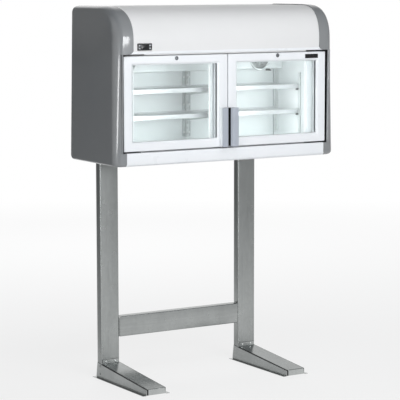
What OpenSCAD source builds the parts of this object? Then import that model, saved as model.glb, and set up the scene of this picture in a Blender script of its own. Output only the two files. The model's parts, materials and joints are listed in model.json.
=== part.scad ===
// Display top freezer on its own stand: a two-door glass-fronted freezer
// cabinet that hangs on two folded posts, above the place of a chest freezer.
// Millimetres. X runs across the front, Y runs from the front to the back,
// Z is up from the floor. Depths are measured from the front of the doors
// and are moved at the end so that the origin lies under the middle.

/* [Cabinet] */
// Width over the end caps
cab_w = 1200; // [1100:10:1400]
// Height of the cabinet's underside above the floor
cab_bottom = 1060; // [950:5:1150]
// Height of the panel under the doors
lower_panel_h = 60; // [50:1:80]
// Height of the curved canopy over the doors
canopy_h = 213.5; // [205:0.5:240]
// Depth of the end caps behind the front of the doors
end_cap_depth = 416; // [400:1:420]
// How far the insulated body stands behind the end caps
body_behind = 22; // [20:1:50]
// How far the canopy stands in front of the doors
canopy_proud = 13.6; // [10:0.2:16]
// How far the lower panel stands in front of the doors
lower_proud = 8; // [6:0.5:10]

/* [End caps] */
// Wall of the moulded end caps
cap_wall = 3; // [2.5:0.5:4]
// Width of the end cap beside the door
cap_lip_w = 41; // [38:1:48]
// Width of the end cap where it laps over the canopy
cap_canopy_lap = 98; // [85:1:110]
// Width of the end cap where it laps over the lower panel
cap_lower_lap = 61; // [55:1:70]
// Rounding of the end cap's front edge
cap_round_front = 42; // [30:1:44]
// Rounding of the end cap's top edge
cap_round_top = 16; // [8:1:20]
// Rounding of the end cap's rear edge
cap_round_rear = 4; // [4:1:14]
// Rounding of the end cap's lower edge
cap_round_low = 12; // [8:1:36]
// Radius of the end cap's corners seen from the side
cap_corner_r = 18; // [15:1:28]
// How far the end caps lean out towards the bottom
cap_flare = 14; // [0:0.5:16]
// Radius of the lap's inner corner above the door
cap_lap_r = 28; // [15:1:35]

/* [Canopy and panels] */
// Depth of the canopy's round nose
nose_depth = 183.6; // [170:0.2:200]
// Height of the canopy's round nose
nose_h = 165; // [150:1:180]
// Fullness of the nose, 2 for an ellipse
nose_power = 2.5; // [2:0.1:3]
// Sheet of the canopy and the panels
panel_t = 2.5; // [2:0.1:3]
// Depth of the turned-in hems, and radius of the canopy's rolled one
hem = 12; // [8:1:16]
// Radius of the lower panel's bottom corner
lower_panel_r = 14; // [8:1:20]

/* [Insulated body] */
// Foamed side walls
wall_side = 53; // [45:1:60]
// Foamed rear wall
wall_rear = 62; // [50:1:70]
// Foamed floor
wall_floor = 55; // [45:1:65]
// Foamed ceiling
wall_top = 42; // [38:1:50]
// Front wall round the opening
wall_front = 27; // [24:1:35]
// Clear height of the cold chamber
chamber_h = 441.8; // [438:0.1:446]
// Steel skin outside
skin_t = 1.5; // [1:0.1:2]
// Plastic liner inside
liner_t = 2; // [1.5:0.1:3]
// Width of the post between the doors
mullion_w = 64; // [58:1:70]
// Depth of the post between the doors
mullion_d = 24; // [18:1:30]

/* [Doors] */
// Height of the doors
door_h = 427; // [415:1:440]
// Thickness of the door frames
door_t = 38; // [34:1:42]
// Gap between the two doors
door_gap = 4; // [3:0.5:6]
// Gap beside each door
side_gap = 10.3; // [9:0.1:12]
// Gap under the doors
low_gap = 7; // [6.5:0.1:9]
// Gap over the doors
top_gap = 8.5; // [8:0.1:11]
// Width of the frame's upright members
stile_w = 47; // [44:1:54]
// Height of the frame's level members
rail_h = 39; // [37:1:44]
// Bevel round the glass
glass_bevel = 8; // [5:0.5:10]
// Panes of the double glazing
pane_t = 4; // [3:0.5:6]
// Space between the panes
pane_space = 12; // [9:1:16]
// Groove that holds the glass in the frame
glass_groove = 9; // [6:0.5:11]
// Thickness of the closed door seal
seal_t = 10; // [8:1:12]
// Width of the door seal
seal_w = 14; // [10:1:15]
// Place of the seal in from the door's edge
seal_in = 23; // [22:0.5:24]
// Height of the sill edge above the door's lower edge
sill_lap = 31; // [28:1:34]
// Depth of the header edge below the door's upper edge
header_lap = 40; // [38:1:46]

/* [Hinges and locks] */
// Radius of the hinge pins
pin_r = 4; // [3:0.5:5]
// Running clearance of pins and shafts
run_gap = 0.05; // [0.02:0.01:0.1]
// Hinge pin in from the door's outer edge
pin_in = 8.7; // [8:0.1:10]
// Hinge pin behind the front of the door
pin_back = 12; // [10:0.5:13]
// Depth of the pin in the door
pin_grip = 16; // [12:1:24]
// Sheet of the hinge brackets
hinge_t = 3; // [2.5:0.5:3.5]
// Length of the hinge brackets along the door
hinge_l = 90; // [70:1:110]
// Radius of the lock barrels
lock_r = 8; // [7:0.5:9]
// Radius of the lock's face
lock_face_r = 9.2; // [9:0.1:11]
// Lock's place from the cabinet's middle
lock_x = 275; // [230:1:320]
// Lock below the door's upper edge
lock_down = 13; // [12:0.5:14]
// Length of the lock's cam
cam_l = 27; // [25:1:32]
// Height of the catches over the doors
keeper_h = 36; // [32:1:42]
// Half width of the catches
keeper_half = 20; // [14:1:26]

/* [Name plate] */
// Width of the bare plate on the right door
plate_w = 74; // [50:1:90]
// Height of the bare plate
plate_h = 20; // [14:1:22]
// Thickness of the bare plate
plate_t = 1.2; // [0.8:0.1:2]
// Bare plate in from the door's outer edge
plate_in = 43; // [30:1:60]
// Bare plate below the door's upper edge
plate_down = 10; // [8:1:14]

/* [Handles] */
// Height of the handles
handle_h = 180; // [140:1:240]
// Handle above the door's lower edge
handle_up = 0.6; // [0:0.1:20]
// How far the handle stands out from the door
handle_out = 27; // [24:1:32]
// Outer edge of the grip from the cabinet's middle
handle_x1 = 44; // [40:1:50]
// Inner edge of the grip's flat face
handle_x0 = 16; // [14:1:20]
// Wall of the handle
handle_t = 3; // [2.5:0.5:4]

/* [Shelves] */
// Height of the first shelf above the chamber floor
shelf_first = 148; // [130:1:165]
// Height between two shelves
shelf_pitch = 121; // [110:5:130]
// Front of the shelves behind the front of the doors
shelf_front = 148; // [140:5:180]
// Sheet of the shelves
shelf_t = 1.6; // [1.2:0.1:2.5]
// Rise of the front lip above the shelf
lip_up = 6.5; // [4:0.5:10]
// Drop of the front lip below the shelf
lip_down = 14; // [10:1:20]
// Lowest point of the slotted uprights above the floor
upright_low = 26; // [15:1:40]
// Gap between the slotted uprights and the evaporator cover
upright_gap = 1; // [0.5:0.5:20]

/* [Evaporator] */
// Height of the evaporator cover
evap_h = 97; // [90:1:100]
// Depth of the evaporator cover
evap_d = 76; // [70:1:90]
// Middle of the evaporator fans in from the chamber's side
evap_fan_in = 132; // [110:1:160]
// Radius of the fan openings
evap_fan_r = 48; // [42:1:50]
// Space between the evaporator coil and the fan openings
coil_gap = 33; // [20:1:60]

/* [Machine compartment] */
// Radius of the compressor's shell
comp_r = 76; // [65:1:85]
// Height of the compressor
comp_h = 146; // [120:1:150]
// Radius of the condenser fan
cond_fan_r = 62; // [50:1:64]
// Sideways pitch of the louvre groups in the rear
louvre_pitch = 230; // [210:5:260]
// Half width of one louvre slot
louvre_half = 95; // [80:1:100]
// Height kept clear over and under the louvres together
louvre_clear = 50; // [40:1:60]
// Height of one louvre slot
louvre_h = 6; // [4:0.5:8]

// Width of the evaporation tray
tray_w = 120; // [90:5:130]
// Length of the evaporation tray
tray_l = 170; // [120:5:180]
// Height of the evaporation tray
tray_h = 28; // [20:1:40]
// Wall of the evaporation tray
tray_t = 2; // [1.5:0.5:3]

/* [Controller] */
// Width of the controller's face
ctl_w = 74; // [70:1:80]
// Height of the controller's face
ctl_h = 32; // [30:1:36]
// Controller's middle from the end cap's lap
ctl_from_lap = 54.6; // [48:0.1:80]
// Controller's middle above the canopy's lower edge
ctl_up = 32.8; // [30:0.1:44]
// Travel of the controller's buttons
key_travel = 0.6; // [0.4:0.1:1]

/* [Stand] */
// Width of the posts
post_w = 98; // [80:1:120]
// Depth of the posts
post_d = 42; // [36:1:60]
// Middle of the posts from the cabinet's middle
post_x = 388; // [300:1:430]
// Height of the posts
post_h = 1700; // [1500:10:1750]
// Sheet of the stand
stand_t = 2; // [1.5:0.5:3]
// Radius of the posts' bends
post_bend = 7; // [4:1:9]
// Height of the crossbar
bar_h = 98; // [80:1:140]
// Crossbar above the floor
bar_z = 191; // [120:1:500]
// Relief cut at the crossbar's corners, along it
bar_relief_w = 9; // [5:1:15]
// Relief cut at the crossbar's corners, up it
bar_relief_h = 7; // [4:1:12]
// Tab that the crossbar turns back along each post
bar_tab = 32; // [20:1:36]
// Height of the foot at its front
foot_front_h = 30; // [24:1:40]
// Height of the foot at the post
foot_rear_h = 68; // [55:1:90]
// Front of the foot behind the front of the doors
foot_front = 2; // [-10:1:60]
// Width of the foot's floor flanges
foot_flange = 25; // [15:1:35]
// Height of the tab that the foot turns up the post
foot_tab = 20; // [16:1:30]

/* [Hidden] */

$fn = 48;
eps = 0.01;
seat = 0.2;

// Levels above the floor
door_z0 = cab_bottom + lower_panel_h + low_gap;
door_z1 = door_z0 + door_h;
canopy_z0 = door_z1 + top_gap;
cab_top = canopy_z0 + canopy_h;
body_z0 = cab_bottom + cap_wall + seat;
floor_z = body_z0 + wall_floor;
ceiling_z = floor_z + chamber_h;
deck_z = ceiling_z + wall_top;
sill_z = door_z0 + sill_lap;
header_z = door_z1 - header_lap;
lock_z = door_z1 - lock_down;

// Distances from the middle
half_w = cab_w / 2;
lip_x = half_w - cap_lip_w;
door_x1 = lip_x - side_gap;
door_x0 = door_gap / 2;
body_x = lip_x - cap_wall;
chamber_x = body_x - wall_side;
pin_x = door_x1 - pin_in;
mullion_x = mullion_w / 2;
canopy_lap_x = half_w - cap_canopy_lap;
lower_lap_x = half_w - cap_lower_lap;
canopy_x = body_x - 3;
evap_fan_x = chamber_x - evap_fan_in;

// Depths behind the front of the doors
body_depth = end_cap_depth + body_behind;
body_y0 = door_t + seal_t;
chamber_y0 = body_y0 + wall_front;
chamber_y1 = body_depth - wall_rear;
post_y0 = body_depth;
post_y1 = post_y0 + post_d;
foot_y1 = post_y1 + 8;
foot_flange_y0 = foot_front - 3;
mid_y = (foot_y1 - handle_out) / 2;

// Nose of the canopy and end caps
nose_y = nose_depth - canopy_proud;
nose_z = cab_top - nose_h;
nose_steps = 12;
canopy_in = cap_wall + seat;

module placed() {
  translate([0, -mid_y, 0]) children();
}

module sided(side) {
  mirror([side < 0 ? 1 : 0, 0, 0]) children();
}

module block(x, y, z) {
  translate([x[0], y[0], z[0]]) cube([x[1] - x[0], y[1] - y[0], z[1] - z[0]]);
}

module rod_y(x, z, y, r) {
  translate([x, y[0], z]) rotate([-90, 0, 0]) cylinder(h = y[1] - y[0], r = r);
}

module rod_x(y, z, x, r) {
  translate([x[0], y, z]) rotate([0, 90, 0]) cylinder(h = x[1] - x[0], r = r);
}

module rod_z(x, y, z, r) {
  translate([x, y, z[0]]) cylinder(h = z[1] - z[0], r = r);
}

// A side profile in depth and height, drawn out across the width
module along_x(x) {
  translate([x[0], 0, 0]) rotate([90, 0, 90]) linear_extrude(x[1] - x[0]) children();
}

// A front profile in width and height, drawn out to the back
module along_y(y) {
  translate([0, y[1], 0]) rotate([90, 0, 0]) linear_extrude(y[1] - y[0]) children();
}

// Solid between a row of closed rings of the same number of points
module loft(rings) {
  n = len(rings[0]);
  m = len(rings);
  points = [for (ring = rings) each ring];
  sides = [for (j = [0:m - 2], i = [0:n - 1]) each [
    [j * n + i, j * n + (i + 1) % n, (j + 1) * n + (i + 1) % n],
    [j * n + i, (j + 1) * n + (i + 1) % n, (j + 1) * n + i]
  ]];
  first = [for (i = [0:n - 1]) n - 1 - i];
  last = [for (i = [0:n - 1]) (m - 1) * n + i];
  polyhedron(concat(points), concat(sides, [first, last]));
}

function arc(y, z, r, a0, a1, n) =
  [for (i = [0:n]) let (a = a0 + (a1 - a0) * i / n) [y + r * cos(a), z + r * sin(a)]];

// Round nose from its foot to its top, drawn in by an inset
function nose(front_in, top_in) =
  [for (i = [0:nose_steps]) let (a = 90 * i / nose_steps) [
    nose_y - (nose_depth - front_in) * pow(cos(a), 2 / nose_power),
    nose_z + (nose_h - top_in) * pow(sin(a), 2 / nose_power)
  ]];

// Side view of an end cap, drawn in by its own inset on each side
function cap_outline(front_in, top_in, rear_in, low_in) =
  let (
    y0 = front_in - lower_proud + cap_corner_r,
    y1 = end_cap_depth - rear_in - cap_corner_r,
    z0 = cab_bottom + low_in + cap_corner_r,
    z1 = cab_top - top_in - cap_corner_r
  )
  concat(
    arc(y0, z0, cap_corner_r, 270, 180, 4),
    nose(front_in, top_in),
    arc(y1, z1, cap_corner_r, 90, 0, 4),
    arc(y1, z0, cap_corner_r, 0, -90, 4)
  );

// The end cap's side leans in towards the top
function lean(x, z) = let (low = cab_bottom + cap_round_low)
  cap_flare * (z - low) / (cab_top - low) * max(0, (x - canopy_lap_x) / (half_w - canopy_lap_x));

function cap_ring(x, share, wall) =
  [for (p = cap_outline(
    wall + (cap_round_front - wall) * share,
    wall + (cap_round_top - wall) * share,
    wall + (cap_round_rear - wall) * share,
    wall + (cap_round_low - wall) * share
  )) [x - lean(x, p[1]), p[0], p[1]]];

// Rounded body of an end cap; a wall of nought gives the outside
module cap_body(x_in, wall) {
  steps = 6;
  x0 = half_w - cap_round_front;
  reach = cap_round_front - wall;
  rings = [for (k = [0:steps]) let (a = 90 * k / steps)
    cap_ring(x0 + reach * sin(a), 1 - cos(a), wall)];
  loft(concat([cap_ring(x_in, 0, wall)], rings));
}

// Stand

module post(side) {
  inner = post_bend - stand_t;
  color("#8f9492") placed() translate([side * post_x, post_y0, 0]) linear_extrude(post_h)
    difference() {
      union() {
        translate([-post_w / 2 + post_bend, 0]) square([post_w - 2 * post_bend, post_d]);
        translate([-post_w / 2, post_bend]) square([post_w, post_d - post_bend]);
        for (s = [-1, 1])
          translate([s * (post_w / 2 - post_bend), post_bend]) circle(r = post_bend);
      }
      translate([-post_w / 2 + post_bend, stand_t])
        square([post_w - 2 * post_bend, post_d - 2 * stand_t]);
      translate([-post_w / 2 + stand_t, post_bend])
        square([post_w - 2 * stand_t, post_d - post_bend - stand_t]);
      for (s = [-1, 1])
        translate([s * (post_w / 2 - post_bend), post_bend]) circle(r = inner);
      translate([-post_w / 2 + hem, post_d - 2 * stand_t])
        square([post_w - 2 * hem, 3 * stand_t]);
    }
}

module crossbar() {
  half = post_x - post_w / 2 - seat;
  color("#989d9b") placed() difference() {
    union() {
      along_x([-half, half]) difference() {
        translate([post_y0, bar_z]) square([post_d, bar_h]);
        translate([post_y0 + stand_t, bar_z + stand_t])
          square([post_d, bar_h - 2 * stand_t]);
      }
      for (side = [-1, 1]) sided(side)
        block([half - stand_t, half], [post_y0, post_y0 + bar_tab],
              [bar_z + bar_relief_h, bar_z + bar_h - bar_relief_h]);
    }
    for (side = [-1, 1], z = [bar_z - 1, bar_z + bar_h - bar_relief_h]) sided(side)
      block([half - bar_relief_w, half + 1], [post_y0 - 1, post_y1 + 1], [z, z + bar_relief_h + 1]);
  }
}

function foot_w() = post_w + 2 * (stand_t + seat);

module foot(side) {
  hw = foot_w() / 2;
  slot = 5;
  tab_y = post_y0 - seat - stand_t;
  color("#9ba09e") placed() translate([side * post_x, 0, 0]) difference() {
    union() {
      along_x([-hw, hw]) polygon([
        [foot_front, 0], [foot_front, foot_front_h], [tab_y, foot_rear_h],
        [tab_y, foot_rear_h + stand_t], [foot_y1 - 12, foot_rear_h + 4], [foot_y1 - 2, 0]
      ]);
      block([-hw - foot_flange, hw + foot_flange], [foot_flange_y0, foot_y1], [0, stand_t]);
      block([-post_w / 2 + hem / 2, post_w / 2 - hem / 2], [tab_y, tab_y + stand_t],
            [foot_rear_h - stand_t, foot_rear_h + foot_tab]);
    }
    along_x([-hw + stand_t, hw - stand_t]) polygon([
      [foot_front + stand_t, -1], [foot_front + stand_t, foot_front_h - stand_t],
      [tab_y + stand_t, foot_rear_h - stand_t], [tab_y + stand_t, cab_bottom],
      [foot_y1 + 1, cab_bottom], [foot_y1 + 1, -1]
    ]);
    block([-hw - 1, -hw + slot], [foot_front - eps, foot_front + stand_t], [stand_t, foot_front_h - stand_t]);
    for (s = [-1, 1]) foot_screw_holes(s);
  }
}

screw_r = 2.5;

module foot_screw_holes(s) {
  rod_y(s * post_w / 4, foot_rear_h + foot_tab / 2 + 1, [post_y0 - 3 * stand_t, post_y0], screw_r + run_gap);
}

// Pan-head screws: two in each tab, two in each foot's outer side
module stand_screws() {
  head_r = 5;
  head_h = 2.6;
  color("#c9ccca") placed() for (side = [-1, 1]) translate([side * post_x, 0, 0]) {
    for (s = [-1, 1]) {
      rod_y(s * post_w / 4, foot_rear_h + foot_tab / 2 + 1,
            [post_y0 - seat - stand_t - head_h, post_y0 - seat - stand_t], head_r);
      rod_y(s * post_w / 4, foot_rear_h + foot_tab / 2 + 1,
            [post_y0 - seat - stand_t - eps, post_y0 - seat], screw_r);
    }
    for (z = [20, 56])
      rod_x(post_y0 + 10, z, side > 0 ? [foot_w() / 2, foot_w() / 2 + head_h]
                                      : [-foot_w() / 2 - head_h, -foot_w() / 2], head_r);
  }
}

function hanger_levels() = [for (k = [0:2]) body_z0 + 90 + 170 * k];

washer_r = 9;
washer_t = 1.6;
bolt_head_r = 7;
bolt_head_h = 5.5;

// Bolts from inside the posts into the back of the body
module hanger_bolts() {
  color("#c9ccca") placed() for (side = [-1, 1], s = [-1, 1], z = hanger_levels())
    translate([side * post_x + s * post_w / 5, post_y0 + stand_t, z]) rotate([-90, 0, 0]) {
      cylinder(h = washer_t, r = washer_r);
      translate([0, 0, washer_t - eps]) cylinder(h = bolt_head_h, r = bolt_head_r, $fn = 6);
    }
}

module stand_fasteners() {
  stand_screws();
  hanger_bolts();
}

// Insulated body

module shell_outside() {
  block([-body_x, body_x], [body_y0, body_depth - seat], [body_z0, deck_z]);
}

module front_opening(x, y, z) {
  block([-x, x], y, z);
}

module outer_shell() {
  color("#e9ebec") placed() difference() {
    shell_outside();
    block([-body_x + skin_t, body_x - skin_t], [body_y0 + skin_t, body_depth - seat - skin_t],
          [body_z0 + skin_t, deck_z - skin_t]);
    front_opening(chamber_x + liner_t, [body_y0 - 1, body_y0 + 2 * skin_t],
                  [sill_z - liner_t, header_z + liner_t]);
  }
}

module chamber(grow, y_front) {
  block([-chamber_x - grow, chamber_x + grow], [chamber_y0 - grow, chamber_y1 + grow],
        [floor_z - grow, ceiling_z + grow]);
  front_opening(chamber_x + grow, [y_front, chamber_y0 + 1], [sill_z - grow, header_z + grow]);
}

module foam_body() {
  color("#e8d9a0") placed() difference() {
    block([-body_x + skin_t, body_x - skin_t], [body_y0 + skin_t, body_depth - seat - skin_t],
          [body_z0 + skin_t, deck_z - skin_t]);
    chamber(liner_t, body_y0);
  }
}

module liner() {
  color("#eef1f0") placed() difference() {
    chamber(liner_t, body_y0);
    chamber(0, body_y0 - 1);
  }
}

module centre_mullion() {
  color("#f0f2f2") placed() difference() {
    block([-mullion_x, mullion_x], [body_y0, body_y0 + mullion_d], [sill_z + seat, header_z - seat]);
    block([-mullion_x + 2 * liner_t, mullion_x - 2 * liner_t], [body_y0 + 2 * liner_t, body_y0 + mullion_d + 1],
          [sill_z + 6 * liner_t, header_z - 6 * liner_t]);
  }
}

module end_cap(side) {
  far = end_cap_depth + 10;
  ret_y = body_y0 - 3.5;
  color("#7b7d80") placed() sided(side) union() {
    difference() {
      cap_body(canopy_lap_x, 0);
      cap_body(canopy_lap_x - 1, cap_wall);
      block([canopy_lap_x - 1, body_x + seat], [body_y0 - 3, far], [cab_bottom - 1, deck_z + 1]);
      block([canopy_lap_x - 1, lip_x], [-nose_depth, body_y0], [door_z0 - low_gap, canopy_z0]);
      block([canopy_lap_x - 1, lower_lap_x], [-nose_depth, body_y0 + 20],
            [cab_bottom - 1, canopy_z0 - 1]);
      along_y([-nose_depth, nose_y / 2]) difference() {
        translate([canopy_lap_x - 1, canopy_z0 - 1]) square(cap_lap_r + 1);
        translate([canopy_lap_x + cap_lap_r, canopy_z0 + cap_lap_r]) circle(r = cap_lap_r);
      }
    }
    block([lip_x, lip_x + cap_wall], [-lower_proud + cap_wall, ret_y],
          [door_z0 - low_gap - cap_wall, canopy_z0 + cap_wall]);
    block([canopy_lap_x + cap_lap_r + 1, lip_x + eps], [-canopy_proud + cap_wall, ret_y],
          [canopy_z0, canopy_z0 + cap_wall]);
    block([lower_lap_x, lip_x + eps], [-lower_proud + cap_wall, ret_y],
          [door_z0 - low_gap - cap_wall, door_z0 - low_gap]);
  }
}

// Front of the sheet under the end cap's lap at a given height
function front_at(z, inset) = let (low = cab_bottom + inset + cap_corner_r)
  inset - canopy_proud + (canopy_proud - lower_proud) * (nose_z - z) / (nose_z - low);

// Side view of the canopy's sheet
module canopy_section() {
  y_end = nose_y + 30;
  out = nose(canopy_in, canopy_in);
  inn = nose(canopy_in + panel_t, canopy_in + panel_t);
  front = front_at(canopy_z0, canopy_in);
  polygon(concat(
    [[front + 3 * hem, canopy_z0]], arc(front + hem, canopy_z0 + hem, hem, 270, 180, 6), out,
    [[y_end, cab_top - canopy_in], [y_end, cab_top - canopy_in - panel_t]],
    [for (i = [len(inn) - 1:-1:0]) inn[i]],
    arc(front + hem, canopy_z0 + hem, hem - panel_t, 180, 270, 6),
    [[front + 3 * hem, canopy_z0 + panel_t]]
  ));
}

function ctl_x() = -(canopy_lap_x - ctl_from_lap);
function ctl_z() = canopy_z0 + ctl_up;
ctl_face_y = -canopy_proud + canopy_in;
ctl_body_w = ctl_w - 4;
ctl_body_h = ctl_h - 4;

module canopy() {
  clear_x = canopy_lap_x + cap_lap_r + 0.6;
  color("#eceded") placed() difference() {
    along_x([-canopy_x, canopy_x]) canopy_section();
    for (side = [-1, 1]) sided(side)
      block([clear_x, canopy_x + 1], [-nose_depth, body_y0],
            [canopy_z0 - 1, canopy_z0 + cap_wall + seat]);
    block([ctl_x() - ctl_body_w / 2 - seat, ctl_x() + ctl_body_w / 2 + seat], [-30, 10],
          [ctl_z() - ctl_body_h / 2 - seat, ctl_z() + ctl_body_h / 2 + seat]);
  }
}

cover_y0 = nose_y + 30 + seat;

module top_cover() {
  z1 = cab_top - canopy_in;
  color("#dfe1e2") placed() difference() {
    block([-canopy_x, canopy_x], [cover_y0, body_depth - seat], [z1 - panel_t, z1]);
    for (side = [-1, 1]) sided(side)
      block([canopy_lap_x - seat, canopy_x + 1],
            [end_cap_depth - cap_wall - cap_corner_r - 1, end_cap_depth + seat], [z1 - panel_t - 1, z1 + 1]);
    for (i = [-6:6])
      translate([i * 60, 0, 0]) block([-18, 18], [body_depth - 90, body_depth - 84], [z1 - 5, z1 + 1]);
    for (i = [-6:6])
      translate([i * 60, 0, 0]) block([-18, 18], [body_depth - 70, body_depth - 64], [z1 - 5, z1 + 1]);
  }
}

module lower_panel() {
  front = -lower_proud + canopy_in;
  z0 = cab_bottom;
  z1 = door_z0 - low_gap;
  r = lower_panel_r;
  far = body_y0 - 4;
  color("#f2f4f5") placed() difference() {
    along_x([-canopy_x, canopy_x]) difference() {
      polygon(concat(
        [[far, z1], [front, z1]], arc(front + r, z0 + r, r, 180, 270, 8), [[far, z0]]
      ));
      polygon(concat(
        [[far + 1, z1 - panel_t], [front + panel_t, z1 - panel_t]],
        arc(front + r, z0 + r, r - panel_t, 180, 270, 8), [[far + 1, z0 + panel_t]]
      ));
    }
    for (side = [-1, 1]) sided(side) {
      block([lower_lap_x - seat, canopy_x + 1], [front - 1, far + 1], [z1 - cap_wall - seat, z1 + 1]);
      block([lower_lap_x - seat, canopy_x + 1], [front - 1, far + 1], [z0 - 1, z0 + cap_wall + seat]);
      block([lower_lap_x - seat, canopy_x + 1], [front - 1, front + cap_corner_r + 1],
            [z0 - 1, z0 + canopy_in + cap_corner_r + 1]);
    }
  }
}

// Rear of the machine compartment: a tray with louvre slots
module rear_grille() {
  z0 = deck_z + seat;
  z1 = cab_top - canopy_in - panel_t - seat;
  deep = body_depth - end_cap_depth;
  slots = 9;
  color("#d9dcdd") placed() difference() {
    block([-body_x, body_x], [end_cap_depth + seat, body_depth - seat], [z0, z1]);
    block([-body_x + skin_t, body_x - skin_t], [end_cap_depth - 1, body_depth - seat - skin_t],
          [z0 - 1, z1 + 1]);
    for (k = [0:slots - 1], s = [-1, 0, 1])
      translate([s * louvre_pitch, 0, z0 + louvre_clear / 2 + k * (z1 - z0 - louvre_clear) / slots])
        block([-louvre_half, louvre_half], [body_depth - deep / 2, body_depth + 1], [0, louvre_h]);
    rod_y(inlet_x, inlet_z(), [body_depth - 10, body_depth + 1], inlet_r + 2 * seat);
  }
}

// Black strips that close the gap beside the doors
module jamb_strips() {
  color("#141516") placed() for (side = [-1, 1]) sided(side)
    block([door_x1 - seal_in + 2, body_x], [body_y0 - 4, body_y0], [door_z0 - 1, door_z1 + 1]);
}

// Doors

// Wedge-sided window of the bevel round the glass
module bevel_window(x0, x1, z0, z1) {
  b = glass_bevel;
  intersection() {
    translate([0, 0, z0 - 2 * b]) linear_extrude(z1 - z0 + 4 * b)
      polygon([[x0 - b, -eps], [x1 + b, -eps], [x1, b], [x0, b]]);
    along_x([x0 - 2 * b, x1 + 2 * b])
      polygon([[-eps, z0 - b], [-eps, z1 + b], [b, z1], [b, z0]]);
  }
}

glass_y0 = glass_bevel + 1;
glass_y1 = glass_y0 + 2 * pane_t + pane_space;

function glass_x() = [door_x0 + stile_w + glass_bevel / 2, door_x1 - stile_w - glass_bevel / 2 + 3];
function glass_z() = [door_z0 + rail_h + glass_bevel / 4, door_z1 - rail_h - glass_bevel / 4];

module door_frame(side) {
  gx = glass_x();
  gz = glass_z();
  g = glass_groove;
  color("#f5f7f9") placed() sided(side) difference() {
    block([door_x0, door_x1], [0, door_t], [door_z0, door_z1]);
    block(gx, [-1, door_t + 1], gz);
    bevel_window(gx[0], gx[1], gz[0], gz[1]);
    block([gx[0] - g, gx[1] + g], [glass_y0 - seat, glass_y1 + seat], [gz[0] - g, gz[1] + g]);
    rod_z(pin_x, pin_back, [door_z1 - pin_grip - 1, door_z1 + 1], pin_r + run_gap);
    rod_z(pin_x, pin_back, [door_z0 - 1, door_z0 + pin_grip + 1], pin_r + run_gap);
    rod_y(lock_x, lock_z, [-1, door_t + 1], lock_r + run_gap);
  }
}

module door_glass(side) {
  gx = glass_x();
  gz = glass_z();
  g = glass_groove - seat;
  color("#cfe0dd", 0.35) placed() sided(side) {
    for (y = [glass_y0, glass_y1 - pane_t])
      block([gx[0] - g, gx[1] + g], [y, y + pane_t], [gz[0] - g, gz[1] + g]);
  }
}

module glass_spacer(side) {
  gx = glass_x();
  gz = glass_z();
  g = glass_groove - 2;
  bar = 7;
  y = [glass_y0 + pane_t, glass_y1 - pane_t];
  color("#b7bbbd") placed() sided(side) difference() {
    block([gx[0] - g, gx[1] + g], y, [gz[0] - g, gz[1] + g]);
    block([gx[0] - g + bar, gx[1] + g - bar], [y[0] - 1, y[1] + 1], [gz[0] - g + bar, gz[1] + g - bar]);
  }
}

module door_seal(side) {
  x0 = door_x0 + seal_in - seal_w / 2;
  x1 = door_x1 - seal_in - seal_w / 2 - 6;
  z0 = door_z0 + seal_in - seal_w / 2;
  z1 = door_z1 - seal_in;
  y = [door_t, body_y0 - seat];
  color("#2a2c2e") placed() sided(side) difference() {
    block([x0, x1 + seal_w], y, [z0, z1]);
    block([x0 + seal_w, x1], [y[0] - 1, y[1] + 1], [z0 + seal_w, z1 - seal_w]);
  }
}

// Hooked pull: a leg on the door, a flat face and a bevel over the finger space
module handle(side) {
  t = handle_t;
  leg = 9;
  face = -handle_out;
  color("#b3b8c0") placed() sided(side)
    translate([0, 0, door_z0 + handle_up]) linear_extrude(handle_h) polygon([
      [handle_x1, 0], [handle_x1, face + t], [handle_x1 - t, face], [handle_x0, face],
      [handle_x0 - 10, face + 12], [handle_x0 - 10 + t * 0.7, face + 12 + t * 0.7],
      [handle_x0 + t * 0.4, face + t], [handle_x1 - leg, face + t], [handle_x1 - leg, 0]
    ]);
}

module lock_barrel(side) {
  color("#8d9093") placed() sided(side) translate([lock_x, 0, lock_z]) {
    difference() {
      union() {
        rod_y(0, 0, [-2, -seat], lock_face_r);
        rod_y(0, 0, [-2, door_t + 2], lock_r);
      }
      block([-0.8, 0.8], [-3, 1.5], [-4, 4]);
    }
  }
}

cam_y = door_t + 2.2;
cam_t = 2.5;

module lock_cam(side) {
  w = 11;
  color("#c3c6c7") placed() sided(side) translate([lock_x, 0, lock_z]) {
    rod_y(0, 0, [cam_y, cam_y + cam_t], lock_r - 0.5);
    block([-cam_l, 0], [cam_y, cam_y + cam_t], [-w / 2, w / 2]);
  }
}

// Catches over the door that the cams turn behind
module lock_keepers() {
  t = 2.5;
  z = [door_z1 + top_gap / 2, door_z1 + keeper_h];
  color("#b9bcbb") placed() for (side = [-1, 1]) sided(side) {
    block([lock_x - keeper_half, lock_x + keeper_half], [door_t - 3, door_t - 3 + t], z);
    block([lock_x - keeper_half, lock_x + keeper_half], [door_t - 3, body_y0], [z[1] - t, z[1]]);
  }
}

// Brackets with the pins that carry the doors, two on each side
module hinge_brackets() {
  x = [pin_x + 12 - hinge_l, pin_x + 12];
  leaf_x = [x[0], lower_lap_x - 3];
  leaf_t = 2.8;
  zt = door_z1 + top_gap - hinge_t - 2.5;
  zb = door_z0 - low_gap + 1.5;
  y = [pin_back - 8, body_y0];
  color("#2c2e30") placed() for (side = [-1, 1]) sided(side) {
    block(x, y, [zt, zt + hinge_t]);
    block(leaf_x, [body_y0 - leaf_t, body_y0], [zt, zt + 34]);
    rod_z(pin_x, pin_back, [door_z1 - pin_grip, zt + hinge_t / 2], pin_r);
    block(x, y, [zb, zb + hinge_t]);
    block(leaf_x, [body_y0 - leaf_t, body_y0], [zb - 22, zb + hinge_t]);
    rod_z(pin_x, pin_back, [zb + hinge_t / 2, door_z0 + pin_grip], pin_r);
    rod_z(pin_x, pin_back, [zb + hinge_t / 2, door_z0 - 0.3], pin_r + 3);
  }
}

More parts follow.
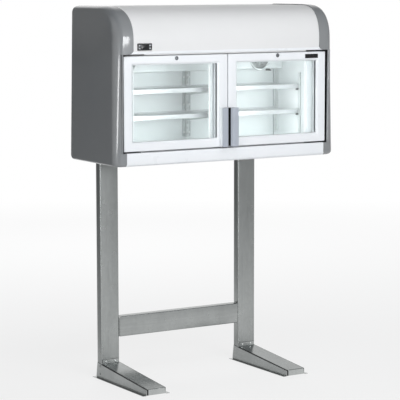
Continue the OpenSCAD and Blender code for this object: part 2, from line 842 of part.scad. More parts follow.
// Flat shape with round corners about the origin
module rounded(w, h, r) {
  square([w - 2 * r, h], center = true);
  square([w, h - 2 * r], center = true);
  for (x = [-1, 1], y = [-1, 1]) translate([x * (w / 2 - r), y * (h / 2 - r)]) circle(r = r);
}

// Bare plate on the right door's upper rail
module name_plate() {
  color("#25272a") placed()
    translate([door_x1 - plate_in - plate_w / 2, 0, door_z1 - plate_down - plate_h / 2])
      rotate([90, 0, 0]) translate([0, 0, seat / 2]) linear_extrude(plate_t) rounded(plate_w, plate_h, 3);
}

// Inside the cold chamber

function shelf_z(level) = floor_z + shelf_first + shelf_pitch * level;

module shelf(side, level) {
  z = shelf_z(level);
  y1 = chamber_y1 - 14;
  x = [3, chamber_x - side_strip_d - seat];
  color("#f1f4f3") placed() sided(side) {
    block(x, [shelf_front, y1], [z - shelf_t, z]);
    block(x, [shelf_front, shelf_front + shelf_t], [z - lip_down, z + lip_up]);
    block(x, [y1 - shelf_t, y1], [z - shelf_t, z + lip_up]);
  }
}

rail_t = 3;

// Rails under the shelves: one in the middle from the rear, one at each side
module shelf_rails() {
  y0 = shelf_front + shelf_t + 0.3;
  y1 = chamber_y1 - upright_d - seat;
  color("#d7dbdb") placed() for (level = [0, 1]) {
    z = shelf_z(level) - shelf_t - seat;
    along_x([-rail_t, rail_t]) polygon([[y0, z], [y1, z], [y1, z - 40], [y0, z - 16]]);
    for (side = [-1, 1]) sided(side) {
      block([chamber_x - side_strip_d - seat - rail_t, chamber_x - side_strip_d - seat],
            [y0, y1], [z - 15, z]);
    }
  }
}

upright_d = 12;
side_strip_d = 6;

// Slotted uprights: one in the middle of the rear wall, two on each side wall
module slotted_uprights() {
  z = [floor_z + upright_low, evap_z0 - upright_gap];
  slots = floor((z[1] - z[0]) / 24) - 1;
  color("#dfe3e3") placed() {
    difference() {
      union() {
        block([-20, 20], [chamber_y1 - 2, chamber_y1], z);
        block([-6.5, 6.5], [chamber_y1 - upright_d, chamber_y1], z);
      }
      for (k = [0:slots])
        block([-2, 2], [chamber_y1 - upright_d - 1, chamber_y1 - upright_d + 6],
              [z[0] + 14 + 24 * k, z[0] + 26 + 24 * k]);
    }
    for (side = [-1, 1], y = [shelf_front, chamber_y1 - 34]) sided(side) difference() {
      block([chamber_x - side_strip_d, chamber_x], [y - 10, y + 10], [z[0] + 12, z[1] - 12]);
      for (k = [0:slots - 1])
        block([chamber_x - side_strip_d - 1, chamber_x - 2], [y - 2, y + 2],
              [z[0] + 22 + 24 * k, z[0] + 38 + 24 * k]);
    }
  }
}

led_w = 30;
led_d = 18;

// One lamp body, seen from above, with its back at nought
module led_section() {
  polygon([[0, 0], [led_w - 6, 0], [led_w, 6], [led_w, led_d - 6], [led_w - 6, led_d], [0, led_d]]);
}

module led_places() {
  y = body_y0 + 4;
  for (side = [-1, 1]) sided(side) {
    translate([mullion_x + seat, y, sill_z + seat]) children();
    translate([chamber_x - seat, y, sill_z + seat]) mirror([1, 0, 0]) children();
  }
}

module led_housings() {
  color("#e4e8ea") placed() led_places() linear_extrude(header_z - sill_z - 2 * seat) led_section();
}

module led_diffusers() {
  color("#fbfdff") placed() led_places()
    translate([led_w + seat, 3, 8])
      cube([3, led_d - 6, header_z - sill_z - 2 * seat - 16]);
}

evap_y0 = chamber_y1 - evap_d;
evap_z0 = ceiling_z - evap_h;
function evap_fan_z() = evap_z0 + 47;

// Cover of the evaporator: front and underside with two round fan guards
module evaporator_cover() {
  x = chamber_x - 1;
  t = 2;
  ring_t = 4;
  color("#e9eeee") placed() difference() {
    union() {
      difference() {
        block([-x, x], [evap_y0, chamber_y1 - seat], [evap_z0, ceiling_z - seat]);
        block([-x + t, x - t], [evap_y0 + t, chamber_y1 + 1], [evap_z0 + t, ceiling_z + 1]);
        for (s = [-1, 1])
          rod_y(s * evap_fan_x, evap_fan_z(), [evap_y0 - 1, evap_y0 + t + 1], evap_fan_r);
        for (i = [-7:7])
          translate([i * 36, 0, 0]) block([-13, 13], [evap_y0 + 20, evap_y0 + 26], [evap_z0 - 1, evap_z0 + t + 1]);
      }
      for (s = [-1, 1]) translate([s * evap_fan_x, evap_y0, evap_fan_z()]) fan_guard(evap_fan_r, ring_t);
    }
    block([-x - 1, x + 1], [evap_y0 - 20, evap_y0 - eps], [evap_z0 - 40, evap_z0 + 2]);
    block([-x - 1, x + 1], [evap_y0 - 20, evap_y0 - eps], [ceiling_z - 2 * seat, ceiling_z + 40]);
  }
}

module ring_y(r_out, r_in, y) {
  translate([0, y[0], 0]) rotate([-90, 0, 0]) difference() {
    cylinder(h = y[1] - y[0], r = r_out);
    translate([0, 0, -1]) cylinder(h = y[1] - y[0] + 2, r = r_in);
  }
}

module fan_guard(r, ring_t) {
  ring_y(r + 6, r - 1, [-6, eps]);
  for (k = [1:3]) ring_y(r * k / 4 + 1, r * k / 4 - 1, [-5, -3]);
  for (a = [45, 135]) rotate([0, a, 0]) block([-r, r], [-3 - eps, -1], [-1.2, 1.2]);
}

coil_half = evap_fan_x - evap_fan_r - coil_gap;

module evaporator_coil() {
  y = [evap_y0 + 12, chamber_y1 - 12];
  z = [evap_z0 + 14, ceiling_z - 8];
  fins = 24;
  half = coil_half;
  color("#b9bfc2") placed() {
    for (k = [0:fins]) {
      x = -half + 2 * half * k / fins;
      block([x - 0.6, x + 0.6], y, z);
    }
    for (yy = [y[0] + 13, y[1] - 13], zz = [z[0] + 18, (z[0] + z[1]) / 2, z[1] - 18])
      rod_x(yy, zz, [-half - 12, half + 12], 4.8, $fn = 16);
    for (s = [-1, 1])
      block([s * (half + 6) - 1.5, s * (half + 6) + 1.5], [y[0], y[1]], [z[0], ceiling_z - seat]);
  }
}

shaft_r = 3;

// Fan that turns about a level shaft; its hub's rear face is at nought
module fan(r, hub_r, hub_l, blades) {
  difference() {
    union() {
      rod_y(0, 0, [-hub_l, 0], hub_r);
      for (k = [0:blades - 1]) rotate([0, 360 / blades * k, 0])
        translate([0, -hub_l / 2, hub_r - 2]) rotate([0, 0, 28])
          block([-r * 0.27, r * 0.27], [-0.8, 0.8], [0, r - hub_r - 2]);
    }
    rod_y(0, 0, [-hub_l + 3, 1], shaft_r + run_gap);
  }
}

evap_fan_y = 34;
evap_motor_r = 19;
evap_motor_l = 25;

module evaporator_fan(side) {
  color("#3a3d40") placed()
    translate([side * evap_fan_x, evap_y0 + evap_fan_y, evap_fan_z()]) fan(evap_fan_r - 6, 13, 16, 5);
}

module evaporator_fan_motors() {
  y0 = evap_y0 + evap_fan_y;
  color("#55585b") placed() for (s = [-1, 1]) translate([s * evap_fan_x, 0, evap_fan_z()]) {
    rod_y(0, 0, [y0 - 12, y0 + 2], shaft_r);
    rod_y(0, 0, [y0 + 1, y0 + 1 + evap_motor_l], evap_motor_r);
    block([-34, 34], [y0 + evap_motor_l - 3, chamber_y1 - seat], [-8, 8]);
  }
}

// Probe of the controller in a clip under the evaporator cover
module temperature_sensor() {
  x = chamber_x - 60;
  z = evap_z0 - seat;
  color("#26282a") placed() {
    block([x - 4, x + 4], [chamber_y1 - 50, chamber_y1 - 30], [z - 5, z]);
    rod_y(x, z - 8, [chamber_y1 - 64, chamber_y1 - 24], 3.2);
  }
}

// Machine compartment

comp_x = -250;
comp_y = 255;

module compressor() {
  r = comp_r;
  h = comp_h;
  z = deck_z + seat;
  color("#1d1f21") placed() translate([comp_x, comp_y, z]) {
    rotate_extrude($fn = 64) polygon(concat(
      [[0, 14], [r - 16, 14], [r, 30], [r, h * 0.52], [r + 3, h * 0.52], [r + 3, h * 0.56], [r, h * 0.56]],
      [for (a = [0:15:90]) [r * pow(cos(a), 0.7), h * 0.62 + h * 0.38 * pow(sin(a), 0.8)]]
    ));
    difference() {
      block([-r - 12, r + 12], [-r * 0.75, r * 0.75], [10, 14.5]);
      for (sx = [-1, 1], sy = [-1, 1]) rod_z(sx * r, sy * r * 0.55, [9, 16], 4.2);
    }
    for (sx = [-1, 1], sy = [-1, 1]) translate([sx * r, sy * r * 0.55, 0]) {
      cylinder(h = 10.2, r = 9);
      cylinder(h = 18, r = 4);
    }
    block([r - 8, r + 20], [-20, 20], [40, 84]);
  }
}

tray_x = -80;
tray_y = 315;
cond_x = [20, 300];
cond_y0 = 384;
cond_d = 38;
cond_h = 150;

module condenser() {
  z = [deck_z + seat, deck_z + seat + cond_h];
  y = [cond_y0, cond_y0 + cond_d];
  fins = 20;
  color("#2f3234") placed() {
    for (k = [0:fins]) {
      x = cond_x[0] + 6 + (cond_x[1] - cond_x[0] - 12) * k / fins;
      block([x - 0.6, x + 0.6], y, [z[0] + 4, z[1] - 4]);
    }
    for (s = [0, 1]) block([cond_x[s] - 1.5, cond_x[s] + 1.5], y, z);
    for (k = [0:4]) rod_x((y[0] + y[1]) / 2, z[0] + 20 + 28 * k, [cond_x[0] - 8, cond_x[1] + 8], 4.8, $fn = 16);
  }
}

function cond_mid() = [(cond_x[0] + cond_x[1]) / 2, deck_z + seat + cond_h / 2];

shroud_d = 26;
cond_motor_r = 26;
cond_motor_l = 39;
fan_back = cond_y0 - 8;

module condenser_fan() {
  m = cond_mid();
  color("#3c3f42") placed() translate([m[0], fan_back - 24, m[1]])
    mirror([0, 1, 0]) fan(cond_fan_r, 18, 18, 5);
}

// Shroud on the condenser with the fan motor on its arms
module fan_shroud() {
  m = cond_mid();
  y1 = cond_y0 - seat;
  motor_y = fan_back - 24;
  color("#6b6f72") placed() {
    difference() {
      block([cond_x[0] - 1.5, cond_x[1] + 1.5], [y1 - 2, y1], [deck_z + seat, deck_z + seat + cond_h]);
      rod_y(m[0], m[1], [y1 - 3, y1 + 1], cond_fan_r + 3);
    }
    translate([m[0], 0, m[1]]) {
      ring_y(cond_fan_r + 5, cond_fan_r + 3, [y1 - shroud_d, y1 - 1]);
      rod_y(0, 0, [motor_y - 1, motor_y + 12], shaft_r);
      rod_y(0, 0, [motor_y - 1 - cond_motor_l, motor_y - 1 + eps], cond_motor_r);
      for (a = [0:120:240]) rotate([0, a, 0]) {
        block([-5, 5], [motor_y - 20, motor_y - 16], [20, cond_fan_r + 5]);
        block([-5, 5], [motor_y - 20, y1 - shroud_d + 1], [cond_fan_r + 3.2, cond_fan_r + 5]);
      }
    }
  }
}

module evaporation_tray() {
  x = [tray_x - tray_w / 2, tray_x + tray_w / 2];
  y = [tray_y - tray_l / 2, tray_y + tray_l / 2];
  z = deck_z + seat;
  color("#2b2d2f") placed() difference() {
    block(x, y, [z, z + tray_h]);
    block([x[0] + tray_t, x[1] - tray_t], [y[0] + tray_t, y[1] - tray_t], [z + tray_t, z + tray_h + 1]);
  }
}

inlet_x = -115;
inlet_r = 10;
function inlet_z() = deck_z + 60;

// Gland that the mains lead enters by
module mains_inlet() {
  y = body_depth - seat;
  color("#17181a") placed() translate([inlet_x, 0, inlet_z()]) difference() {
    union() {
      rod_y(0, 0, [y, y + 5], inlet_r + 4, $fn = 48);
      rod_y(0, 0, [y - 12, y + 1], inlet_r, $fn = 48);
      rod_y(0, 0, [y + 4, y + 18], inlet_r - 3, $fn = 48);
      rod_y(0, 0, [y - skin_t - 5, y - skin_t - 1], inlet_r + 4, $fn = 48);
    }
    rod_y(0, 0, [y - 20, y + 30], 3.8, $fn = 48);
  }
}

// Controller

key_w = 8;
key_h = 7;
key_dx = 27;
key_dz = 6.5;
case_out = 4;

module controller_case() {
  y0 = ctl_face_y - case_out;
  win = [36, 20];
  color("#121315") placed() translate([ctl_x(), 0, ctl_z()]) difference() {
    union() {
      along_y([y0, ctl_face_y - seat]) rounded(ctl_w, ctl_h, 3);
      block([-ctl_body_w / 2, ctl_body_w / 2], [y0 + 1, body_y0 - 4], [-ctl_body_h / 2, ctl_body_h / 2]);
    }
    block([-win[0] / 2, win[0] / 2], [y0 - 1, y0 + 1.5], [-win[1] / 2, win[1] / 2]);
    for (sx = [-1, 1], sz = [-1, 1])
      translate([sx * key_dx, 0, sz * key_dz])
        block([-key_w / 2 - 0.3, key_w / 2 + 0.3], [y0 - 1, y0 + 3.5], [-key_h / 2 - 0.3, key_h / 2 + 0.3]);
  }
}

module controller_window() {
  y0 = ctl_face_y - case_out;
  color("#1c2326") placed() translate([ctl_x(), 0, ctl_z()])
    block([-17.8, 17.8], [y0 + 0.3, y0 + 1.5], [-9.8, 9.8]);
}

module key(sx, sz) {
  y0 = ctl_face_y - case_out;
  color("#8b8f93") placed() translate([ctl_x() + sx * key_dx, 0, ctl_z() + sz * key_dz])
    block([-key_w / 2, key_w / 2], [y0 - 0.8, y0 + 3.5 - key_travel - 0.3], [-key_h / 2, key_h / 2]);
}

post(-1);  // post_left
post(1);  // post_right
crossbar();
foot(-1);  // foot_left
foot(1);  // foot_right
stand_fasteners();
outer_shell();
foam_body();
liner();
centre_mullion();
end_cap(-1);  // end_cap_left
end_cap(1);  // end_cap_right
canopy();
top_cover();
lower_panel();
rear_grille();
jamb_strips();
door_frame(-1);  // door_frame_left
door_frame(1);  // door_frame_right
door_glass(-1);  // door_glass_left
door_glass(1);  // door_glass_right
glass_spacer(-1);  // glass_spacer_left
glass_spacer(1);  // glass_spacer_right
door_seal(-1);  // door_seal_left
door_seal(1);  // door_seal_right
handle(-1);  // handle_left
handle(1);  // handle_right
lock_barrel(-1);  // lock_barrel_left
lock_barrel(1);  // lock_barrel_right
lock_cam(-1);  // lock_cam_left
lock_cam(1);  // lock_cam_right
lock_keepers();
hinge_brackets();
name_plate();
shelf(-1, 0);  // shelf_lower_left
shelf(1, 0);  // shelf_lower_right
shelf(-1, 1);  // shelf_upper_left
shelf(1, 1);  // shelf_upper_right
shelf_rails();
slotted_uprights();
led_housings();
led_diffusers();
evaporator_cover();
evaporator_coil();
evaporator_fan(-1);  // evaporator_fan_left
evaporator_fan(1);  // evaporator_fan_right
evaporator_fan_motors();
temperature_sensor();
compressor();
condenser();
condenser_fan();
fan_shroud();
evaporation_tray();
mains_inlet();
controller_case();
controller_window();
key(-1, 1);  // key_set
key(-1, -1);  // key_defrost
key(1, 1);  // key_up
key(1, -1);  // key_down
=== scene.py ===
import json
import math

import bmesh
import bpy
from mathutils import Matrix, Vector


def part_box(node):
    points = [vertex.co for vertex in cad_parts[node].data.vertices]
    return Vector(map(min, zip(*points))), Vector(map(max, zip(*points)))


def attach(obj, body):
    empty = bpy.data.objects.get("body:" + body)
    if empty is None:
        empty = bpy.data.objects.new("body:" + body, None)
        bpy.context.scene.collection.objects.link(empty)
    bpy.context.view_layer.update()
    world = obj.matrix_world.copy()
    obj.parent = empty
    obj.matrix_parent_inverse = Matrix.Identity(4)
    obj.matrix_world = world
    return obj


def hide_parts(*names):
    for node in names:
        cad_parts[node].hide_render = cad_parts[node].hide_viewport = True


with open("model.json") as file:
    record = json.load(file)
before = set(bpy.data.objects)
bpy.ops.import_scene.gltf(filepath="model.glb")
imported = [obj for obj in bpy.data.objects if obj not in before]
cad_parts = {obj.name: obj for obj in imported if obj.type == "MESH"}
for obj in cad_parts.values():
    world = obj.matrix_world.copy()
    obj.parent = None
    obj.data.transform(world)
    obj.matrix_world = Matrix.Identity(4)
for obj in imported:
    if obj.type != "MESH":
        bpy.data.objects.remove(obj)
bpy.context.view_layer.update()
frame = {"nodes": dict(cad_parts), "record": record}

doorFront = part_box("door_frame_left")[0][1]  # depth nought of every drawing below


def at(x, depth, z):
    return Vector((x / 1000, doorFront + depth / 1000, z / 1000))


# Colours and nodes


def linear(hexCode):
    parts = [int(hexCode[i:i + 2], 16) / 255 for i in (1, 3, 5)]
    return tuple(p / 12.92 if p <= 0.04045 else ((p + 0.055) / 1.055) ** 2.4 for p in parts) + (1.0,)


def perMetre(millimetres):
    return 1000 / millimetres  # scale of a pattern whose features are this big


def node(tree, kind, values=None, links=None, **settings):
    made = tree.nodes.new(kind)
    for key, value in settings.items():
        setattr(made, key, value)
    for key, value in (values or {}).items():
        made.inputs[key].default_value = value
    for key, source in (links or {}).items():
        tree.links.new(source, made.inputs[key])
    return made


def blankMaterial(name):
    material = bpy.data.materials.new(name)
    material.use_nodes = True
    tree = material.node_tree
    tree.nodes.clear()
    place = node(tree, "ShaderNodeTexCoord").outputs["Object"]
    return material, tree, place


def closeMaterial(tree, shader):
    node(tree, "ShaderNodeOutputMaterial", links={"Surface": shader.outputs[0]})


def stretched(tree, place, scale):
    return node(tree, "ShaderNodeMapping", {"Scale": scale}, {"Vector": place}).outputs["Vector"]


def noise(tree, place, size, detail=2.0, rough=0.5):
    return node(tree, "ShaderNodeTexNoise",
                {"Scale": perMetre(size), "Detail": detail, "Roughness": rough},
                {"Vector": place}).outputs["Fac"]


def ramp(tree, value, low, high, first, last):
    made = node(tree, "ShaderNodeMapRange",
                {"From Min": low, "From Max": high, "To Min": first, "To Max": last}, {"Value": value})
    return made.outputs["Result"]


def maths(tree, operation, first, second=0.0, third=None):
    made = node(tree, "ShaderNodeMath", operation=operation)
    for index, value in enumerate((first, second, third)):
        if value is None:
            continue
        if isinstance(value, (int, float)):
            made.inputs[index].default_value = value
        else:
            tree.links.new(value, made.inputs[index])
    return made.outputs[0]


def axes(tree, vector):
    return node(tree, "ShaderNodeSeparateXYZ", links={"Vector": vector}).outputs


def towards(tree, way, target):
    return node(tree, "ShaderNodeVectorMath", {1: Vector(target).normalized()}, {0: way},
                operation="DOT_PRODUCT").outputs["Value"]


def blendColours(tree, share, first, last):
    made = node(tree, "ShaderNodeMix", data_type="RGBA")
    tree.links.new(share, made.inputs[0])
    for index, colour in ((6, first), (7, last)):
        if isinstance(colour, str):
            made.inputs[index].default_value = linear(colour)
        else:
            tree.links.new(colour, made.inputs[index])
    return made.outputs[2]


# Painted, moulded and rubber surfaces: two close tones in soft patches, a fine
# grain in the bump and fingermarks in the gloss


def smoothFinish(name, tones, patch, grain, grainDepth, gloss, metallic=0.0, coat=0.0,
                 streak=(1, 1, 1), dust=None, specular=0.5):
    material, tree, place = blankMaterial(name)
    spread = stretched(tree, place, streak)
    patches = ramp(tree, noise(tree, spread, patch, 3.0), 0.3, 0.7, 0.0, 1.0)
    colour = blendColours(tree, patches, tones[0], tones[1])
    if dust:
        settled = ramp(tree, noise(tree, place, dust["size"], 4.0, 0.65), 0.52, 0.78, 0.0, dust["share"])
        colour = blendColours(tree, settled, colour, dust["tone"])
    rough = ramp(tree, noise(tree, spread, patch * 0.45, 4.0), 0.25, 0.75, gloss[0], gloss[1])
    bump = node(tree, "ShaderNodeBump", {"Strength": 0.6, "Distance": grainDepth / 1000},
                {"Height": noise(tree, spread, grain, 2.0)})
    values = {"Metallic": metallic, "Coat Weight": coat, "Coat Roughness": 0.06}
    if not metallic:
        values.update({"IOR": 1.5, "Specular IOR Level": specular})
    shader = node(tree, "ShaderNodeBsdfPrincipled", values,
                  {"Base Color": colour, "Roughness": rough, "Normal": bump.outputs["Normal"]})
    closeMaterial(tree, shader)
    return material


# Hot-dip galvanised sheet: spangles of zinc crystals, rolled streaks, soft grey clouds
galvanisedLook = {"spangle": 11.0, "cloud": 170.0, "streak": 5.0, "crystalShare": 0.08,
                  "cloudShare": 0.6, "streakShare": 0.26, "spread": (0.28, 0.74), "bump": 0.12,
                  "darkTone": "#999c9b", "paleTone": "#b3b6b5", "roughness": (0.262, 0.274)}
# paler copy of the same sheet for the feet: painted light that lifts their darker tops
footPaintedLightLook = dict(galvanisedLook, darkTone="#a9acab", paleTone="#c3c6c5", roughness=(0.205, 0.215))


def galvanisedSheet(name, look, grain=(1, 1, 0.03)):
    material, tree, place = blankMaterial(name)
    cells = node(tree, "ShaderNodeTexVoronoi", {"Scale": perMetre(look["spangle"])},
                 {"Vector": stretched(tree, place, (1, 1, 0.75))}, feature="F1")
    crystal = node(tree, "ShaderNodeSeparateColor", links={"Color": cells.outputs["Color"]}).outputs["Red"]
    cloud = noise(tree, stretched(tree, place, (1, 1, 0.35)), look["cloud"], 4.0, 0.6)
    streak = noise(tree, stretched(tree, place, grain), look["streak"], 2.0)
    mixed = maths(tree, "MULTIPLY", crystal, look["crystalShare"])
    mixed = maths(tree, "MULTIPLY_ADD", cloud, look["cloudShare"], mixed)
    mixed = maths(tree, "MULTIPLY_ADD", streak, look["streakShare"], mixed)
    share = ramp(tree, mixed, *look["spread"], 0.0, 1.0)
    colour = blendColours(tree, share, look["darkTone"], look["paleTone"])
    rough = ramp(tree, crystal, 0.0, 1.0, *look["roughness"])
    bump = node(tree, "ShaderNodeBump", {"Strength": look["bump"], "Distance": 0.0002}, {"Height": streak})
    shader = node(tree, "ShaderNodeBsdfPrincipled", {"Metallic": 1.0},
                  {"Base Color": colour, "Roughness": rough, "Normal": bump.outputs["Normal"]})
    closeMaterial(tree, shader)
    return material


# Float glass, faintly green, clear to the lamps
def floatGlass(name, tint):
    material, tree, place = blankMaterial(name)
    wave = noise(tree, place, 260.0, 1.0)
    colour = blendColours(tree, wave, tint[0], tint[1])
    clear = node(tree, "ShaderNodeBsdfPrincipled",
                 {"Transmission Weight": 1.0, "Roughness": 0.0, "IOR": 1.45}, {"Base Color": colour})
    open_ = node(tree, "ShaderNodeBsdfTransparent", {"Color": linear(tint[2])})
    rays = node(tree, "ShaderNodeLightPath")
    mixed = node(tree, "ShaderNodeMixShader",
                 links={0: rays.outputs["Is Shadow Ray"], 1: clear.outputs[0], 2: open_.outputs[0]})
    closeMaterial(tree, mixed)
    return material


# Frosted lens of the lamp profiles, with a low glow of its own
def lampLens(name, tone, glow):
    material, tree, place = blankMaterial(name)
    frost = noise(tree, place, 1.2, 2.0)
    bump = node(tree, "ShaderNodeBump", {"Strength": 0.3, "Distance": 0.0001}, {"Height": frost})
    colour = blendColours(tree, frost, tone, "#ffffff")
    shader = node(tree, "ShaderNodeBsdfPrincipled",
                  {"Roughness": 0.4, "Emission Color": linear("#f4fbff"), "Emission Strength": glow},
                  {"Base Color": colour, "Normal": bump.outputs["Normal"]})
    closeMaterial(tree, shader)
    return material


def dusty(size, share, tone):
    return {"size": size, "share": share, "tone": tone}


finishes = {
    "galvanised": galvanisedSheet("galvanisedSheetSpangled", galvanisedLook),
    # the same sheet rolled along the bar, and a paler copy rolled along the feet as painted light on their
    # tops
    "galvanised_bar": galvanisedSheet("galvanisedSheetAcross", galvanisedLook, (0.03, 1, 1)),
    "galvanised_foot": galvanisedSheet("galvanisedSheetForwardPaintedLight", footPaintedLightLook, (1, 0.03, 1)),
    # zinc plate on screws: pale, with a soft even sparkle
    "zinc": smoothFinish("zincPlatedSteel", ("#e2e5e3", "#f0f2f0"), 9, 1.0, 0.03, (0.40, 0.50), 1.0),
    # powder coat, smooth white: low orange peel
    "white_sheet": smoothFinish("powderCoatWhite", ("#e8e8e8", "#ebebeb"), 320, 2.2, 0.02, (0.34, 0.42),
                                specular=0.35),
    # closed-cell polyurethane foam: pale yellow, pitted
    "foam": smoothFinish("polyurethaneFoamCells", ("#d9cb92", "#e6dba9"), 14, 2.0, 0.5, (0.8, 0.95)),
    # vacuum-formed polystyrene liner: satin, faintly green
    "liner": smoothFinish("polystyreneLinerWhite", ("#e9efef", "#edf2f2"), 180, 3.0, 0.03, (0.34, 0.44)),
    # injection-moulded ABS, high gloss grey
    "grey_abs": smoothFinish("mouldedAbsGreyGloss", ("#828588", "#868889"), 240, 40.0, 0.05, (0.36, 0.42),
                             specular=0.6, coat=1.0),
    # extruded white PVC with a smooth skin
    "white_frame": smoothFinish("extrudedPvcWhite", ("#f1f4f7", "#f5f7fa"), 200, 6.0, 0.02, (0.26, 0.34)),
    "glazing": floatGlass("floatGlassClear", ("#fdfefe", "#fefefe", "#f4f6f6")),
    # coated aluminium spacer between the panes: matt, nearly white
    "spacer": smoothFinish("aluminiumSpacerWhite", ("#eef0f1", "#f4f5f6"), 30, 1.5, 0.03, (0.45, 0.55)),
    # magnetic gasket of soft PVC: dull, takes dust
    "seal": smoothFinish("softPvcGasketGrey", ("#1d1f21", "#26282b"), 40, 0.8, 0.04, (0.55, 0.7),
                         dust=dusty(8, 0.12, "#55585a")),
    "black_strip": smoothFinish("mouldedPpBlack", ("#0f1012", "#15171a"), 60, 0.9, 0.05, (0.42, 0.55)),
    # satin anodised handle extrusion, cool grey
    "handle_grey": smoothFinish("anodisedHandleGrey", ("#aab0ba", "#b2b8c2"), 80, 0.8, 0.02, (0.34, 0.44),
                                streak=(1, 1, 0.05)),
    "lock_metal": smoothFinish("satinChromeLock", ("#8a8d91", "#a3a6aa"), 6, 0.5, 0.02, (0.24, 0.34), 1.0),
    "hinge_steel": smoothFinish("enamelledSteelBlack", ("#191a1c", "#222427"), 30, 1.4, 0.04, (0.3, 0.45)),
    # epoxy coated shelf sheet
    "shelf_white": smoothFinish("epoxyCoatShelfWhite", ("#ccd0d1", "#d1d5d6"), 160, 1.6, 0.03, (0.32, 0.42)),
    "upright_steel": smoothFinish("coatedUprightSteel", ("#cfd6d5", "#dae0df"), 90, 1.2, 0.02, (0.3, 0.42)),
    "led_profile": smoothFinish("anodisedLampProfile", ("#dfe4e6", "#e8edef"), 60, 0.9, 0.02, (0.3, 0.4),
                                streak=(1, 1, 0.05)),
    "led_lens": lampLens("frostedPolycarbonateLens", "#eceff0", 0.05),
    "coil_metal": smoothFinish("aluminiumFinStock", ("#b2b7ba", "#c3c8ca"), 25, 2.0, 0.05, (0.3, 0.45), 1.0),
    "black_fan": smoothFinish("mouldedNylonBlack", ("#161719", "#202224"), 20, 0.8, 0.04, (0.4, 0.55),
                              dust=dusty(12, 0.15, "#4a4b4c")),
    "motor_metal": smoothFinish("paintedMotorShell", ("#a3a7a9", "#afb3b4"), 20, 1.0, 0.04, (0.35, 0.5)),
    "black_enamel": smoothFinish("stovedEnamelBlack", ("#121315", "#1a1b1d"), 60, 1.6, 0.05, (0.16, 0.26),
                                 dust=dusty(30, 0.12, "#4b4a48")),
    "dark_metal": smoothFinish("paintedCondenserFins", ("#1f2123", "#2a2c2f"), 30, 1.2, 0.05, (0.4, 0.55),
                               dust=dusty(9, 0.2, "#5b5a57")),
    "black_case": smoothFinish("mouldedPolycarbonateBlack", ("#0e0f11", "#141517"), 30, 0.8, 0.02,
                               (0.2, 0.3)),
    # smoked window over an unlit display
    "display": smoothFinish("smokedAcrylicWindow", ("#07090a", "#0d1113"), 20, 12.0, 0.01, (0.14, 0.20),
                            coat=0.1),
    "key_grey": smoothFinish("siliconeKeyGrey", ("#b0b4b8", "#bdc1c4"), 5, 0.5, 0.02, (0.5, 0.62)),
    # die-cast lock face, darker plating with fine turning marks
    "lock_face": smoothFinish("nickelPlatedLockFace", ("#6c6f73", "#7d8084"), 4, 0.4, 0.03,
                              (0.26, 0.36), 1.0),
    # recessed shelf track, corner beads and side strips in grey as painted shade lines
    "track": smoothFinish("extrudedTrackGreyPaintedShade", ("#b7bfbf", "#c0c7c7"), 60, 1.0, 0.02, (0.4, 0.5),
                          streak=(1, 1, 0.05)),
}

slotOf = {entry["node"]: entry["material_slot"] for entry in frame["record"]["subparts"]}
for name, cadNode in frame["nodes"].items():
    if not cadNode.material_slots:
        cadNode.data.materials.append(None)
    for entry in cadNode.material_slots:
        entry.material = finishes[slotOf[name]]
print("finishes:", len(finishes), "on", len(slotOf), "parts")


# Mesh making

leftAndRight = ((-1, "Left", "left"), (1, "Right", "right"))  # with the ends of piece and node names


def rounded(path, radius, steps=6, closed=False):
    points, sides = [], []
    last = len(path) - 1
    for index, spot in enumerate(path):
        corner = Vector(spot)
        if not closed and index in (0, last):
            way = Vector(path[1]) - corner if index == 0 else corner - Vector(path[-2])
            way.normalize()
            points.append(corner)
            sides.append(Vector((-way.y, way.x)))
            continue
        back = (corner - Vector(path[index - 1])).normalized()
        ahead = (Vector(path[(index + 1) % len(path)]) - corner).normalized()
        turn = math.atan2(back.x * ahead.y - back.y * ahead.x, back.dot(ahead))
        size = radius[index] if isinstance(radius, (list, tuple)) else radius
        lean = 1 if turn > 0 else -1
        start = corner - back * size * math.tan(abs(turn) / 2)
        centre = start + Vector((-back.y, back.x)) * size * lean
        for k in range(steps + 1):
            arm = Matrix.Rotation(turn * k / steps, 2) @ (start - centre)
            points.append(centre + arm)
            sides.append(arm.normalized() * -lean)
    return points, sides


def foldedSheet(shape, path, radius, thickness, place, first, last, steps=6):
    rows = []
    for skin, side in zip(*rounded(path, radius, steps)):
        a = first(skin) if callable(first) else first
        b = last(skin) if callable(last) else last
        rear = skin + side * thickness
        rows.append([shape.verts.new(place(a, *skin)), shape.verts.new(place(b, *skin)),
                     shape.verts.new(place(b, *rear)), shape.verts.new(place(a, *rear))])
    for one, two in zip(rows, rows[1:]):
        for k in range(4):
            shape.faces.new((one[k], one[(k + 1) % 4], two[(k + 1) % 4], two[k]))
    shape.faces.new(rows[0][::-1])
    shape.faces.new(rows[-1])


def extrudedOutline(shape, outline, place, first, last):
    near = [shape.verts.new(place(first, *spot)) for spot in outline]
    far = [shape.verts.new(place(last, *spot)) for spot in outline]
    count = len(outline)
    for k in range(count):
        shape.faces.new((near[k], near[(k + 1) % count], far[(k + 1) % count], far[k]))
    shape.faces.new(near[::-1])
    shape.faces.new(far)


def loftedRings(shape, rings, looped=False):
    rows = [[shape.verts.new(spot) for spot in ring] for ring in rings]
    count = len(rows[0])
    pairs = list(zip(rows, rows[1:])) + ([(rows[-1], rows[0])] if looped else [])
    for one, two in pairs:
        for k in range(count):
            shape.faces.new((one[k], one[(k + 1) % count], two[(k + 1) % count], two[k]))
    if not looped:
        shape.faces.new(rows[0][::-1])
        shape.faces.new(rows[-1])


def boxOutline(x, y):
    return [(x[0], y[0]), (x[1], y[0]), (x[1], y[1]), (x[0], y[1])]


def shrunk(span, inset):
    return span[0] + inset, span[1] - inset


